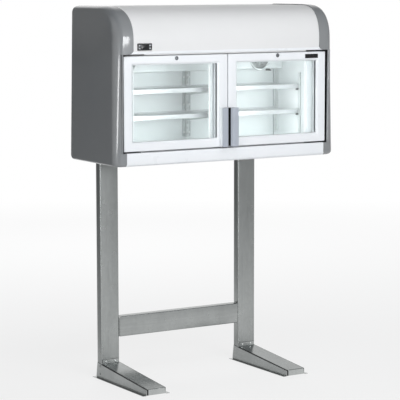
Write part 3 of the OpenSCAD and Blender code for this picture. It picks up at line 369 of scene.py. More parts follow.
def rectangle(x, z, depth, corner, steps=4):
    ring = []
    for cx, cz, turn in ((x[1] - corner, z[0] + corner, -90), (x[1] - corner, z[1] - corner, 0),
                         (x[0] + corner, z[1] - corner, 90), (x[0] + corner, z[0] + corner, 180)):
        for k in range(steps + 1):
            angle = math.radians(turn + 90 * k / steps)
            ring.append(at(cx + corner * math.cos(angle), depth, cz + corner * math.sin(angle)))
    return ring


def acrossX(x, depth, z):
    return at(x, depth, z)


def upright(z, x, depth):
    return at(x, depth, z)


def inDepth(depth, x, z):
    return at(x, depth, z)


def meshFrom(shape, name):
    bmesh.ops.remove_doubles(shape, verts=shape.verts, dist=1e-6)
    bmesh.ops.recalc_face_normals(shape, faces=shape.faces)
    mesh = bpy.data.meshes.new(name)
    shape.to_mesh(mesh)
    shape.free()
    return mesh


def shown(name, mesh):
    piece = bpy.data.objects.new(name, mesh)
    bpy.context.scene.collection.objects.link(piece)
    return piece


def finished(piece, slotName, body, replaced=(), bevel=0.0, smooth=35, look=None):
    mesh = piece.data
    mesh.materials.clear()
    mesh.materials.append(finishes[look or slotName])
    mesh.shade_smooth()
    mesh.set_sharp_from_angle(angle=math.radians(smooth))
    if bevel:
        edge = piece.modifiers.new("roundedEdges", "BEVEL")
        edge.width = bevel / 1000
        edge.segments = 2
        edge.limit_method = "ANGLE"
        edge.angle_limit = math.radians(40)
        edge.harden_normals = True
    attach(piece, body)
    if replaced:
        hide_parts(*replaced)
    return piece


def built(shape, name, slotName, body, replaced=(), **finish):
    return finished(shown(name, meshFrom(shape, name)), slotName, body, replaced, **finish)


def mirrored(piece, name):
    mesh = piece.data.copy()
    mesh.name = name
    mesh.transform(Matrix.Scale(-1, 4, (1, 0, 0)))
    shape = bmesh.new()
    shape.from_mesh(mesh)
    bmesh.ops.recalc_face_normals(shape, faces=shape.faces)
    shape.to_mesh(mesh)
    shape.free()
    return shown(name, mesh)


def frozen(piece):
    ready = bpy.data.meshes.new_from_object(piece.evaluated_get(bpy.context.evaluated_depsgraph_get()))
    piece.modifiers.clear()
    piece.data = ready
    return piece


def cutBy(piece, shape):
    tool = shown("cutter", meshFrom(shape, "cutter"))
    cut = piece.modifiers.new("cut", "BOOLEAN")
    cut.operation = "DIFFERENCE"
    cut.solver = "EXACT"
    cut.object = tool
    frozen(piece)
    bpy.data.objects.remove(tool)


def thickened(piece, sheet, offset):
    wall = piece.modifiers.new("sheetThickness", "SOLIDIFY")
    wall.thickness = sheet / 1000
    wall.offset = offset
    return frozen(piece)


def blocks(*boxes):
    shape = bmesh.new()
    for x, depth, z in boxes:
        extrudedOutline(shape, boxOutline(x, depth), upright, *z)
    return shape


# End caps: one moulded shell a side, rounded all round, lapping over the
# canopy above the door and over the lower panel below it

cap = {"half": 600, "bottom": 1060, "top": 1776, "rear": 422, "wall": 3, "front": 42, "crown": 16,
       "back": 4, "low": 12, "corner": 18, "flare": 14, "lapX": 502, "lowLapX": 539, "lipX": 559,
       "lapRadius": 28, "canopyLow": 1562.5, "doorLow": 1120, "noseY": 170, "noseZ": 1611,
       "noseDepth": 183.6, "noseHigh": 165, "power": 2.5, "lowProud": 8, "rounds": 12, "noseSteps": 40,
       "lipRound": 6.0, "sweep": (-10, 45), "lapLean": (3, 18, 4),
       "bodyRoom": ((400, 556.2), (45, 440), (1050, 1603)), "doorRoom": (-200, 48), "panelRoom": (-200, 68),
       "lapRoom": (-200, 85)}


def noseCurve(frontIn, topIn, steps):
    spots = []
    for k in range(steps + 1):
        angle = math.pi / 2 * k / steps
        ahead = max(0, math.cos(angle)) ** (2 / cap["power"])
        above = math.sin(angle) ** (2 / cap["power"])
        spots.append((cap["noseY"] - (cap["noseDepth"] - frontIn) * ahead,
                      cap["noseZ"] + (cap["noseHigh"] - topIn) * above))
    return spots


def arcSpots(y, z, radius, first, last, steps):
    angles = [math.radians(first + (last - first) * k / steps) for k in range(steps + 1)]
    return [(y + radius * math.cos(a), z + radius * math.sin(a)) for a in angles]


def capRing(x, share, wall):
    frontIn, topIn, rearIn, lowIn = [wall + (cap[side] - wall) * share
                                     for side in ("front", "crown", "back", "low")]
    r = cap["corner"]
    y0, y1 = frontIn - cap["lowProud"] + r, cap["rear"] - rearIn - r
    z0, z1 = cap["bottom"] + lowIn + r, cap["top"] - topIn - r
    outline = (arcSpots(y0, z0, r, 270, 180, 8) + noseCurve(frontIn, topIn, cap["noseSteps"])
               + arcSpots(y1, z1, r, 90, 0, 8) + arcSpots(y1, z0, r, 0, -90, 8))
    low = cap["bottom"] + cap["low"]
    outward = max(0, (x - cap["lapX"]) / (cap["half"] - cap["lapX"]))
    ring = []
    for y, z in outline:
        rise = (z - low) / (cap["top"] - low)
        frontness = max(0, min(1, (cap["noseY"] - y) / cap["noseDepth"]))
        # the front edge gets softer towards the top
        deeper = (cap["sweep"][0] + cap["sweep"][1] * rise) * share * frontness
        lean = 0.0
        if share == 0 and outward < 0.05:
            shift, extra, power = cap["lapLean"]
            lean = shift + extra * max(0, (z - cap["noseZ"]) / cap["noseHigh"]) ** power
        ring.append(at(x + lean - cap["flare"] * rise * outward, y + deeper, z))
    return ring


def capSolid(innerX, wall):
    reach = cap["front"] - wall
    rings = [capRing(innerX, 0, wall)]
    for k in range(cap["rounds"] + 1):
        angle = math.pi / 2 * k / cap["rounds"]
        rings.append(capRing(cap["half"] - cap["front"] + reach * math.sin(angle), 1 - math.cos(angle), wall))
    shape = bmesh.new()
    loftedRings(shape, rings)
    return shape


def makeEndCap():
    piece = shown("endCapRight", meshFrom(capSolid(cap["lapX"], 0), "endCapRight"))
    cutBy(piece, capSolid(cap["lapX"] - 1, cap["wall"]))
    inside, below = cap["bodyRoom"][0][0], cap["bodyRoom"][2][0]
    cutBy(piece, blocks(cap["bodyRoom"]))
    cutBy(piece, blocks(((inside, cap["lipX"] + cap["lipRound"]), cap["doorRoom"],
                         (cap["doorLow"], cap["canopyLow"]))))
    cutBy(piece, blocks(((inside, cap["lowLapX"]), cap["panelRoom"], (below, cap["canopyLow"] - 1))))
    r = cap["lapRadius"]
    x, z = cap["lapX"], cap["canopyLow"]
    corner = bmesh.new()
    arc = [(x + r + r * math.cos(math.radians(a)), z + r + r * math.sin(math.radians(a)))
           for a in range(270, 179, -9)]
    extrudedOutline(corner, [(x - 2, z - 2), (x + r, z - 2)] + arc + [(x - 2, z + r)], inDepth,
                    *cap["lapRoom"])
    cutBy(piece, corner)
    return piece


capRight = makeEndCap()
capLeft = mirrored(capRight, "endCapLeft")
finished(capRight, "grey_abs", "cabinet", ["end_cap_right"], bevel=0.7)
finished(capLeft, "grey_abs", "cabinet", ["end_cap_left"], bevel=0.7)

# The lip beside the door turns inwards in a quarter round that follows the
# leaning front, and a black moulding lines the opening behind it, its black partly painted shade for the gap
# there
capReturns = {"depth": (-4.5, 44.5), "topX": 531, "corner": 2.0}


def besideDoor(z, x, depth):
    low, high = cap["bottom"] + cap["corner"], cap["noseZ"]
    lean = (cap["noseDepth"] - cap["noseY"] - cap["lowProud"]) * (z - low) / (high - low)
    return at(x, depth - cap["lowProud"] - lean, z)


for side, sideName, _ in leftAndRight:
    shape = bmesh.new()
    lip, turn = side * cap["lipX"], cap["lipRound"]
    foldedSheet(shape, [(lip, turn + 1.5), (lip, 0.0), (lip + side * (turn + 0.4), 0.0)],
                [0, turn, 0], -side * cap["wall"], besideDoor, cap["doorLow"], cap["canopyLow"], steps=8)
    built(shape, "capLip" + sideName, "grey_abs", "cabinet")
    shape = bmesh.new()
    foldedSheet(shape, [(side * cap["lowLapX"], cap["doorLow"]), (lip, cap["doorLow"]),
                        (lip, cap["canopyLow"]), (side * capReturns["topX"], cap["canopyLow"])],
                capReturns["corner"], -side * cap["wall"], inDepth, *capReturns["depth"], steps=3)
    built(shape, "capReturn" + sideName, "black_strip", "cabinet")
print("end caps made")


# Geometry Nodes: a tree is made with named inputs, run once on a piece, and
# its result is kept as a plain mesh


def newTree(name, sockets):
    tree = bpy.data.node_groups.new(name, "GeometryNodeTree")
    tree.interface.new_socket("Geometry", in_out="INPUT", socket_type="NodeSocketGeometry")
    for label, value in sockets.items():
        kind = "NodeSocketInt" if isinstance(value, int) else "NodeSocketFloat"
        tree.interface.new_socket(label, in_out="INPUT", socket_type=kind).default_value = value
    tree.interface.new_socket("Geometry", in_out="OUTPUT", socket_type="NodeSocketGeometry")
    return tree, node(tree, "NodeGroupInput").outputs


def closeTree(tree, geometry, slotName):
    real = node(tree, "GeometryNodeRealizeInstances", links={"Geometry": geometry})
    coat = node(tree, "GeometryNodeSetMaterial", {"Material": finishes[slotName]},
                {"Geometry": real.outputs["Geometry"]})
    node(tree, "NodeGroupOutput", links={0: coat.outputs["Geometry"]})


def runTree(piece, tree, sockets):
    grown = piece.modifiers.new(tree.name, "NODES")
    grown.node_group = tree
    for item in tree.interface.items_tree:
        if item.item_type == "SOCKET" and item.in_out == "INPUT" and item.name in sockets:
            grown[item.identifier] = sockets[item.name]
    return frozen(piece)


# Canopy: a sheet that runs up the front, over a superellipse nose and back

canopy = {"width": 1.106, "noseDepth": 0.1804, "noseHeight": 0.1618, "fullness": 2.5, "topRun": 0.030,
          "frontRun": 0.0365, "slant": 0.0004, "rows": 73, "frontShare": 4 / 72, "noseShare": 68 / 72,
          "sheet": 2.5}


def canopyTree():
    sockets = {"Width": canopy["width"], "Nose depth": canopy["noseDepth"],
               "Nose height": canopy["noseHeight"], "Fullness": canopy["fullness"],
               "Top run": canopy["topRun"], "Front run": canopy["frontRun"], "Slant": canopy["slant"],
               "Nose back": at(0, cap["noseY"], 0).y, "Nose foot": cap["noseZ"] / 1000,
               "Rows": canopy["rows"]}
    tree, given = newTree("canopyNose", sockets)
    sheet = node(tree, "GeometryNodeMeshGrid", {"Size Y": 1.0, "Vertices X": 2},
                 {"Size X": given["Width"], "Vertices Y": given["Rows"]})
    spot = axes(tree, node(tree, "GeometryNodeInputPosition").outputs[0])
    along = maths(tree, "ADD", spot["Y"], 0.5)
    span = canopy["noseShare"] - canopy["frontShare"]
    turn = ramp(tree, along, canopy["frontShare"], canopy["frontShare"] + span, 0.0, math.pi / 2)
    power = maths(tree, "DIVIDE", 2.0, given["Fullness"])
    cosine = maths(tree, "POWER", maths(tree, "MAXIMUM", maths(tree, "COSINE", turn), 0.0), power)
    sine = maths(tree, "POWER", maths(tree, "SINE", turn), power)
    upFront = ramp(tree, along, 0.0, canopy["frontShare"], 1.0, 0.0)
    overTop = ramp(tree, along, canopy["noseShare"], 1.0, 0.0, 1.0)
    y = maths(tree, "SUBTRACT", given["Nose back"], maths(tree, "MULTIPLY", cosine, given["Nose depth"]))
    y = maths(tree, "MULTIPLY_ADD", overTop, given["Top run"], y)
    y = maths(tree, "MULTIPLY_ADD", upFront, given["Slant"], y)
    z = maths(tree, "MULTIPLY_ADD", sine, given["Nose height"], given["Nose foot"])
    z = maths(tree, "SUBTRACT", z, maths(tree, "MULTIPLY", upFront, given["Front run"]))
    place = node(tree, "ShaderNodeCombineXYZ", links={"X": spot["X"], "Y": y, "Z": z})
    bent = node(tree, "GeometryNodeSetPosition",
                links={"Geometry": sheet.outputs["Mesh"], "Position": place.outputs[0]})
    closeTree(tree, bent.outputs["Geometry"], "white_sheet")
    return tree, sockets


canopySheet = shown("canopySheet", bpy.data.meshes.new("canopySheet"))
runTree(canopySheet, *canopyTree())
thickened(canopySheet, canopy["sheet"], -1)
finished(canopySheet, "white_sheet", "cabinet", ["canopy"])

# Its lower hem, rolled in and under, in the brighter white of the door frames as a painted highlight along
# the canopy's edge
hem = {"path": [(-9.95, 1574.6), (-9.85, 1562.5), (24.0, 1562.5)], "radius": 3, "x": 531}
shape = bmesh.new()
foldedSheet(shape, hem["path"], hem["radius"], canopy["sheet"], acrossX, -hem["x"], hem["x"], steps=10)
built(shape, "canopyHem", "white_frame", "cabinet")

# Lower panel with its rounded bottom edge
lowerPanel = {"front": -4.8, "back": 44, "z": (1060, 1120), "radii": [0, 2.5, 14, 0], "sheet": 2.5,
              "x": 538.8}
shape = bmesh.new()
foldedSheet(shape, [(lowerPanel["back"], lowerPanel["z"][1]), (lowerPanel["front"], lowerPanel["z"][1]),
                    (lowerPanel["front"], lowerPanel["z"][0]), (lowerPanel["back"], lowerPanel["z"][0])],
            lowerPanel["radii"], lowerPanel["sheet"], acrossX, -lowerPanel["x"], lowerPanel["x"], steps=8)
built(shape, "lowerPanel", "white_frame", "cabinet", ["lower_panel"], bevel=0.4)

# White strip behind the gap between the canopy and the doors: painted light that brightens the gap's shade
gapLightStrip = {"depth": (3, 30), "z": (1557.5, 1562.4), "corner": 1.2, "x": 440}
shape = bmesh.new()
outline = rounded(boxOutline(gapLightStrip["depth"], gapLightStrip["z"]), gapLightStrip["corner"], 3, closed=True)[0]
extrudedOutline(shape, outline, acrossX, -gapLightStrip["x"], gapLightStrip["x"])
built(shape, "gapLightStrip", "white_sheet", "cabinet")
print("canopy and lower panel made")


# Doors: a frame with soft outer edges and a bevel round the glass

doorSizes = {"x": (2, 548.7), "z": (1127, 1554), "thick": 38, "glassX": (53.0, 500.7),
             "glassZ": (1168, 1513), "edge": 2.5, "corner": 3.0, "bevel": 8.0, "bevelRound": 1.6,
             "innerCorner": 2.0}
doorShadeStrip = {"sheet": 0.5, "proud": 0.1, "depth": (3.4, 36.5), "short": 1.5}


def toSide(rings, side):
    return [[Vector((side * spot.x, spot.y, spot.z)) for spot in ring] for ring in rings]


def doorFrame(side):
    size, soft = doorSizes, doorSizes["bevelRound"]
    rings = []

    def ring(inset, depth):
        rings.append(rectangle(shrunk(size["x"], inset), shrunk(size["z"], inset), depth, size["corner"]))

    def glassRing(out, depth, corner=size["innerCorner"]):
        rings.append(rectangle(shrunk(size["glassX"], -out), shrunk(size["glassZ"], -out), depth, corner))

    ring(1.0, size["thick"])
    ring(0.0, size["thick"] - 1.0)
    for k in range(7):
        angle = math.pi / 2 * k / 6
        ring(size["edge"] * (1 - math.cos(angle)), size["edge"] * (1 - math.sin(angle)))
    for k in range(5):
        angle = math.radians(45) * k / 4
        glassRing(size["bevel"] + soft - soft * math.sin(angle) * 1.4, soft * (1 - math.cos(angle)),
                  size["innerCorner"] + 1)
    glassRing(0.8, size["bevel"] - 0.6)
    glassRing(0.0, size["bevel"] + 0.4)
    glassRing(0.0, size["thick"] - 1.0)
    glassRing(1.0, size["thick"])
    shape = bmesh.new()
    loftedRings(shape, toSide(rings, side), looped=True)
    return shape


for side, sideName, nodeSide in leftAndRight:
    built(doorFrame(side), "doorFrame" + sideName, "white_frame", "door_" + nodeSide,
          ["door_frame_" + nodeSide], smooth=50)
    # black strip down the side where the door turns: painted shade for the shadowed gap beside the end cap
    shape = bmesh.new()
    outer = side * (doorSizes["x"][1] + doorShadeStrip["proud"])
    foldedSheet(shape, [(outer, doorShadeStrip["depth"][0]), (outer, doorShadeStrip["depth"][1])], 0,
                -side * doorShadeStrip["sheet"], upright, *shrunk(doorSizes["z"], doorShadeStrip["short"]))
    built(shape, "doorShadeStrip" + sideName, "black_strip", "door_" + nodeSide)

# Handles: an extruded hook with a flat face and a bevel over the finger space,
# on a white leg, with a black plate behind it as painted shade in the finger space
handleZ = (1127.6, 1307.6)
handleParts = {
    "handle": {"outline": [(44, -22.5), (44, -27), (16, -27), (6, -15), (8.1, -12.9), (17.2, -24),
                           (36, -24), (36, -22.5)],
               "radii": [0.3, 3.0, 3.0, 1.0, 1.0, 1.5, 0.3, 0.3], "slot": "handle_grey", "short": 0.0,
               "bevel": 0.8},
    "handleLeg": {"outline": [(43.8, 0), (43.8, -22.5), (35, -22.5), (35, 0)],
                  "radii": [0.2, 0.3, 0.3, 0.2], "slot": "white_frame", "short": 0.0, "bevel": 0.0},
    "handleShadePlate": {"outline": [(35, 0), (35, -1.2), (3, -1.2), (3, 0)],
                      "radii": [0.1, 0.3, 0.5, 0.1], "slot": "black_strip", "short": 1.0, "bevel": 0.0}}
for side, sideName, nodeSide in leftAndRight:
    for part, row in handleParts.items():
        outline = rounded([(side * x, depth) for x, depth in row["outline"]], row["radii"], 5, closed=True)[0]
        shape = bmesh.new()
        extrudedOutline(shape, outline, upright, *shrunk(handleZ, row["short"]))
        built(shape, part + sideName, row["slot"], "door_" + nodeSide,
              ["handle_" + nodeSide] if part == "handle" else [], bevel=row["bevel"])
print("doors made")


# Stand: folded posts, crossbar and two wedge feet

stand = {"postX": 388, "postWidth": 98, "front": 438, "back": 480, "top": 1700, "sheet": 2,
         "radii": [0, 3, 7, 7, 3, 0], "lip": 12}
for side, sideName, nodeSide in leftAndRight:
    shape = bmesh.new()
    left = side * stand["postX"] - stand["postWidth"] / 2
    right = side * stand["postX"] + stand["postWidth"] / 2
    path = [(left + stand["lip"], stand["back"]), (left, stand["back"]), (left, stand["front"]),
            (right, stand["front"]), (right, stand["back"]), (right - stand["lip"], stand["back"])]
    foldedSheet(shape, path, stand["radii"], stand["sheet"], upright, 0.0, stand["top"], steps=8)
    built(shape, "post" + sideName, "galvanised", "cabinet", ["post_" + nodeSide], bevel=0.3)

crossbar = {"z": (191, 289), "half": 338.6, "bend": 3.5, "relief": 5, "overlap": 0.4, "ear": 32,
            "earShort": 3}
shape = bmesh.new()
barEnd = crossbar["half"] - crossbar["relief"]
foldedSheet(shape, [(stand["back"], crossbar["z"][1]), (stand["front"], crossbar["z"][1]),
                    (stand["front"], crossbar["z"][0]), (stand["back"], crossbar["z"][0])],
            crossbar["bend"], stand["sheet"], acrossX, -barEnd, barEnd)
for side in (-1, 1):
    tip = side * crossbar["half"]
    foldedSheet(shape, [(side * (barEnd + crossbar["overlap"]), stand["front"]), (tip, stand["front"]),
                        (tip, stand["front"] + crossbar["ear"])],
                crossbar["bend"], side * stand["sheet"], upright,
                *shrunk(crossbar["z"], crossbar["earShort"]))
built(shape, "crossbar", "galvanised", "cabinet", ["crossbar"], bevel=0.3, look="galvanised_bar")

foot = {"half": 51.2, "front": 2, "frontHigh": 30, "rearHigh": 68, "tabY": 435.8, "tabTop": 88, "rear": 488,
        "flange": 20, "flangeFront": -1, "sheet": 2, "seam": 2.8, "seamHigh": 3.6, "slot": 10, "cut": 2.4,
        "tabInset": 7, "tabCorner": 4, "stations": (2.01, 60, 120, 180, 240, 300, 360, 435.8, 476, 486)}


def footTop(depth):
    share = (depth - foot["front"]) / (foot["tabY"] - foot["front"])
    return foot["frontHigh"] + (foot["rearHigh"] - foot["frontHigh"]) * max(0, min(1, share))


def footPlate(shape, middle):
    # tab up the post, slope, and a flap down at the front with a slot on its left
    half, corner, tabY, tabTop = foot["half"], foot["tabCorner"], foot["tabY"], foot["tabTop"]
    inner = half - foot["sheet"] - foot["seam"]
    waist = foot["rearHigh"] + 4

    def inward(spot):
        above = spot.y - waist
        if above < 0:
            return 0
        near = max(0, above - (tabTop - waist - corner))
        return foot["tabInset"] - half + inner + near * near / corner

    def leftEdge(spot):
        inFlap = spot.x < foot["front"] + 3 and spot.y < foot["frontHigh"] - 1
        return middle - (half - foot["slot"] if inFlap else inner - inward(spot))

    def rightEdge(spot):
        return middle + inner - inward(spot)

    path = [(tabY, tabTop), (tabY, tabTop - corner / 4), (tabY, tabTop - corner / 2), (tabY, tabTop - corner),
            (tabY, waist + 0.1), (tabY, waist - 0.1), (tabY, foot["rearHigh"] + 1),
            (foot["front"], foot["frontHigh"]), (foot["front"], 1.5)]
    foldedSheet(shape, path, [0, 0, 0, 0, 0, 0, 2.5, 3, 0], foot["sheet"], acrossX, leftEdge, rightEdge,
                steps=5)


def footWall(shape, middle, hand):
    # a side plate, folded out to its floor flange
    half, sheet = foot["half"], foot["sheet"]
    edge = half + foot["flange"]
    bend = [(half + 3 - 3 * math.cos(math.radians(a)), 4.0 - 2.0 * math.sin(math.radians(a)))
            for a in (22, 45, 68, 90)]
    inside = [(edge, 0.0), (half + 3, 0.0), (half + 0.6, 0.3), (half - 0.6, 1.0), (half - 1.4, 2.2),
              (half - sheet, 4.0)]
    rows = []
    for depth in foot["stations"]:
        if depth < 470:
            top = footTop(depth) - foot["seamHigh"]
        else:
            top = footTop(depth) + 4 if depth < 480 else 8
        line = [(half, top), (half, 4.0)] + bend + [(edge, 2.0)] + inside + [(half - sheet, top)]
        rows.append([at(middle + hand * x, depth, z) for x, z in line])
    loftedRings(shape, rows)
    # the flange runs past the wall at the front, with a cut corner, and at the back
    start = half + 2
    for near, far, cut in ((foot["flangeFront"], foot["front"] + 1, foot["cut"]), (485, foot["rear"], 0)):
        plate = [(start, near), (edge - cut, near), (edge, near + cut), (edge, far), (start, far)]
        extrudedOutline(shape, [(middle + hand * x, depth) for x, depth in plate], upright, 0.0, 2.0)


def footShadowStrips(middle):
    # dark strips as painted shade in the seams and in the slot at the front, and as a painted shadow round
    # the tab
    shape = bmesh.new()
    half, front, high = foot["half"], foot["front"], foot["frontHigh"]
    slope = [(foot["tabY"] - 1, foot["rearHigh"] - 0.7), (front + 1.5, high - 0.7)]
    for hand in (-1, 1):
        foldedSheet(shape, slope, 0, foot["seamHigh"] + 0.4, acrossX,
                    middle + hand * (half - 5.6), middle + hand * (half - 0.5), steps=1)
    extrudedOutline(shape, boxOutline((front + 2.2, front + 3.2), (1.0, high - 2)), acrossX,
                    middle - half + 0.6, middle - half + 12)
    reach = half - foot["tabInset"] + 1.0
    outline = rounded(boxOutline((middle - reach, middle + reach), (foot["rearHigh"], foot["tabTop"] + 0.9)),
                      [0.2, 0.2, 5, 5], 4, closed=True)[0]
    extrudedOutline(shape, outline, inDepth, foot["tabY"] + 1.6, foot["tabY"] + 2.15)
    return shape


for side, sideName, nodeSide in leftAndRight:
    middle = side * stand["postX"]
    shape = bmesh.new()
    footPlate(shape, middle)
    for hand in (-1, 1):
        footWall(shape, middle, hand)
    built(shape, "foot" + sideName, "galvanised", "cabinet", ["foot_" + nodeSide], bevel=0.3,
          look="galvanised_foot")
    built(footShadowStrips(middle), "footShadowStrips" + sideName, "black_strip", "cabinet")
print("stand made")


# Small fittings on the front


def turned(shape, centre, profile, steps=32, looped=False):
    rings = []
    for radius, depth in profile:
        angles = [2 * math.pi * k / steps for k in range(steps)]
        rings.append([at(centre[0] + radius * math.cos(a), depth, centre[1] + radius * math.sin(a))
                      for a in angles])
    loftedRings(shape, rings, looped)


def slab(x, z, rows):
    shape = bmesh.new()
    loftedRings(shape, [rectangle(shrunk(x, inset), shrunk(z, inset), depth, corner)
                        for inset, depth, corner in rows])
    return shape


controller = {"x": (-484.4, -410.4), "z": (1579.3, 1611.3), "bodyIn": 2.0, "back": 44, "seat": -9.6,
              "edge": -12.6, "front": -14.4, "round": 1.8, "rim": ((3.2, 0.0), (3.6, 0.3)), "gap": 0.3,
              "windowX": (-465.2, -429.6), "windowZ": (1585.5, 1605.1), "windowCut": (-16, -12.5),
              "windowRows": [(0, -12.5, 1.0), (0, -13.6, 1.0), (0.4, -14.0, 1.0), (1.2, -14.1, 1.0)],
              "keyX": {"left": -474.4, "right": -420.4}, "keyZ": {"low": 1588.8, "high": 1601.8},
              "keyHalf": (4.0, 3.5), "keyCut": (-16, -10.4),
              "keyRows": [(0, -11.8, 1.6), (0, -14.5, 1.6), (0.25, -14.9, 1.6), (0.8, -15.15, 1.4),
                          (1.6, -15.2, 1.2)]}
keyPlaces = {"set": ("left", "high"), "defrost": ("left", "low"), "up": ("right", "high"),
             "down": ("right", "low")}


def keySpans(across, level):
    x, z = controller["keyX"][across], controller["keyZ"][level]
    wide, high = controller["keyHalf"]
    return (x - wide, x + wide), (z - high, z + high)


bezelRows = [(controller["bodyIn"], controller["back"], 1.5), (controller["bodyIn"], controller["seat"], 1.5),
             (0, controller["seat"], 3.0), (0, controller["edge"], 3.0)]
for a in (30, 60, 90):
    bezelRows.append((controller["round"] * (1 - math.cos(math.radians(a))),
                      controller["edge"] - controller["round"] * math.sin(math.radians(a)), 3.0))
bezelRows += [(inset, controller["front"] + sunk, 2.0) for inset, sunk in controller["rim"]]
bezel = slab(controller["x"], controller["z"], bezelRows)
bezel = shown("controllerBezel", meshFrom(bezel, "controllerBezel"))
out = -controller["gap"]
recesses = [(shrunk(controller["windowX"], out), controller["windowCut"], shrunk(controller["windowZ"], out))]
for keyPlace in keyPlaces.values():
    x, z = keySpans(*keyPlace)
    recesses.append((shrunk(x, out), controller["keyCut"], shrunk(z, out)))
cutBy(bezel, blocks(*recesses))
finished(bezel, "black_case", "cabinet", ["controller_case"], smooth=20)
built(slab(controller["windowX"], controller["windowZ"], controller["windowRows"]), "controllerWindow",
      "display", "cabinet", ["controller_window"], smooth=8)
for key, keyPlace in keyPlaces.items():
    built(slab(*keySpans(*keyPlace), controller["keyRows"]), "key" + key.title(), "key_grey",
          "button_" + key, ["key_" + key])

# Bare plate on the right door, with a raised rim
plate = {"x": (431.7, 505.7), "z": (1524, 1544),
         "rows": [(0, -0.1, 1.6), (0, -0.9, 1.6), (0.3, -1.25, 1.6), (1.1, -1.3, 1.2), (1.4, -1.0, 1.0)]}
built(slab(plate["x"], plate["z"], plate["rows"]), "barePlate", "black_case", "door_right", ["name_plate"])

# Cam locks: turned barrel with a ring round the plug and a key slot
lock = {"x": 275, "z": 1541, "slot": (0.8, 4.0), "slotDepth": (-3, 1.5),
        "profile": [(2, 40), (7.4, 40), (8, 39.4), (8, 0), (8.9, -0.2), (9.2, -0.7), (9.2, -1.3),
                    (8.8, -1.85), (8.1, -2), (7.3, -1.95), (6.7, -1.5), (6.4, -0.7), (5.9, -0.7),
                    (5.6, -1.5), (5.2, -1.75), (1.5, -1.75)]}
for side, sideName, nodeSide in leftAndRight:
    x, z = side * lock["x"], lock["z"]
    shape = bmesh.new()
    turned(shape, (x, z), lock["profile"], 40)
    face = shown("lockFace" + sideName, meshFrom(shape, "lockFace" + sideName))
    wide, high = lock["slot"]
    cutBy(face, blocks(((x - wide, x + wide), lock["slotDepth"], (z - high, z + high))))
    finished(face, "lock_metal", "lock_" + nodeSide, ["lock_barrel_" + nodeSide], look="lock_face")

# Magnetic door seals with a bellows fold
seal = {"x": (18, 526.7), "z": (1143, 1531), "corner": 0.5,
        "section": [(0, 38.0), (14, 38.0), (14, 39.3), (9.6, 40.0), (9.6, 41.0), (13, 42.0), (13, 46.9),
                    (12, 47.8), (2, 47.8), (1, 46.9), (1, 42.0), (4.4, 41.0), (4.4, 40.0), (0, 39.3)]}
for side, sideName, nodeSide in leftAndRight:
    rings = [rectangle(shrunk(seal["x"], inset), shrunk(seal["z"], inset), depth, seal["corner"], steps=1)
             for inset, depth in seal["section"]]
    shape = bmesh.new()
    loftedRings(shape, toSide(rings, side), looped=True)
    built(shape, "doorSeal" + sideName, "seal", "door_" + nodeSide, ["door_seal_" + nodeSide])
print("fittings made")


# Chamber: folded shelves, clips under their lips, and corner beads and tracks in grey as painted shade lines

shelf = {"x": (3, 496.8), "depth": (148, 362), "sheet": 1.6, "down": 14, "up": 6.5,
         "curl": 3.4, "curlGap": 0.1, "lipBack": 6, "bend": 2.5, "lipBends": [0, 1.6, 1.6, 2.2, 0],
         "tops": {"lower": 1266.2, "upper": 1387.2}}
for level, top in shelf["tops"].items():
    near, far = shelf["depth"]
    base, high, low = top - shelf["sheet"], top + shelf["up"], top - shelf["down"]
    for side, sideName, nodeSide in leftAndRight:
        shape = bmesh.new()
        ends = [side * x for x in shelf["x"]]
        foldedSheet(shape, [(near + shelf["curl"] / 2, base), (far, base), (far, high)], shelf["bend"],
                    shelf["sheet"], acrossX, *ends, steps=5)
        curl = near + shelf["curl"]
        foldedSheet(shape, [(curl, top + shelf["curlGap"]), (curl, high), (near, high), (near, low),
                            (near + shelf["lipBack"], low)], shelf["lipBends"], shelf["sheet"],
                    acrossX, *ends, steps=5)
        built(shape, "shelf" + level.title() + sideName, "shelf_white", "cabinet",
              ["shelf_" + level + "_" + nodeSide])

clips = {"depth": (149.9, 159), "x": ((-13, 2.2), (482, 498.6), (-498.6, -482)), "drop": (-22, -14.6),
         "slope": 4, "corner": 0.8}
shape = bmesh.new()
for top in shelf["tops"].values():
    for left, right in clips["x"]:
        near, far = clips["depth"]
        outline = rounded([(left, near), (right, near), (right, far), (left + clips["slope"], far)],
                          clips["corner"], 3, closed=True)[0]
        extrudedOutline(shape, outline, upright, top + clips["drop"][0], top + clips["drop"][1])
built(shape, "shelfClips", "black_strip", "cabinet", bevel=0.4)

# corner beads, side strip lines and tracks: grey strips that paint the shade lines in the corners and beside
# the upright
chamberLines = {"beadX": 503, "beadDepth": 375.9, "bead": 3.2, "z": (1118, 1455), "stripX": 496.8,
                "stripDepth": (146.4, 149.2), "stripZ": (1160, 1444), "track": ((-24, -7.2), (7.2, 22)),
                "trackDepth": (373.2, 374.4), "trackZ": (1148, 1458), "trackCorner": 0.4}
shape = bmesh.new()
for side in (-1, 1):
    x, y, size = side * chamberLines["beadX"], chamberLines["beadDepth"], chamberLines["bead"]
    extrudedOutline(shape, [(x, y - size), (x, y), (x - side * size, y),
                            (x - side * size * 0.5, y - size * 0.3),
                            (x - side * size * 0.3, y - size * 0.5)], upright, *chamberLines["z"])
    x, (near, far) = side * chamberLines["stripX"], chamberLines["stripDepth"]
    extrudedOutline(shape, [(x + side * 0.4, near), (x + side * 0.4, far), (x - side * 0.5, far - 0.4),
                            (x - side * 0.5, near + 0.4)], upright, *chamberLines["stripZ"])
for track in chamberLines["track"]:
    outline = rounded(boxOutline(track, chamberLines["trackDepth"]), chamberLines["trackCorner"], 2,
                      closed=True)[0]
    extrudedOutline(shape, outline, upright, *chamberLines["trackZ"])
built(shape, "chamberShadeStrips", "upright_steel", "cabinet", look="track")

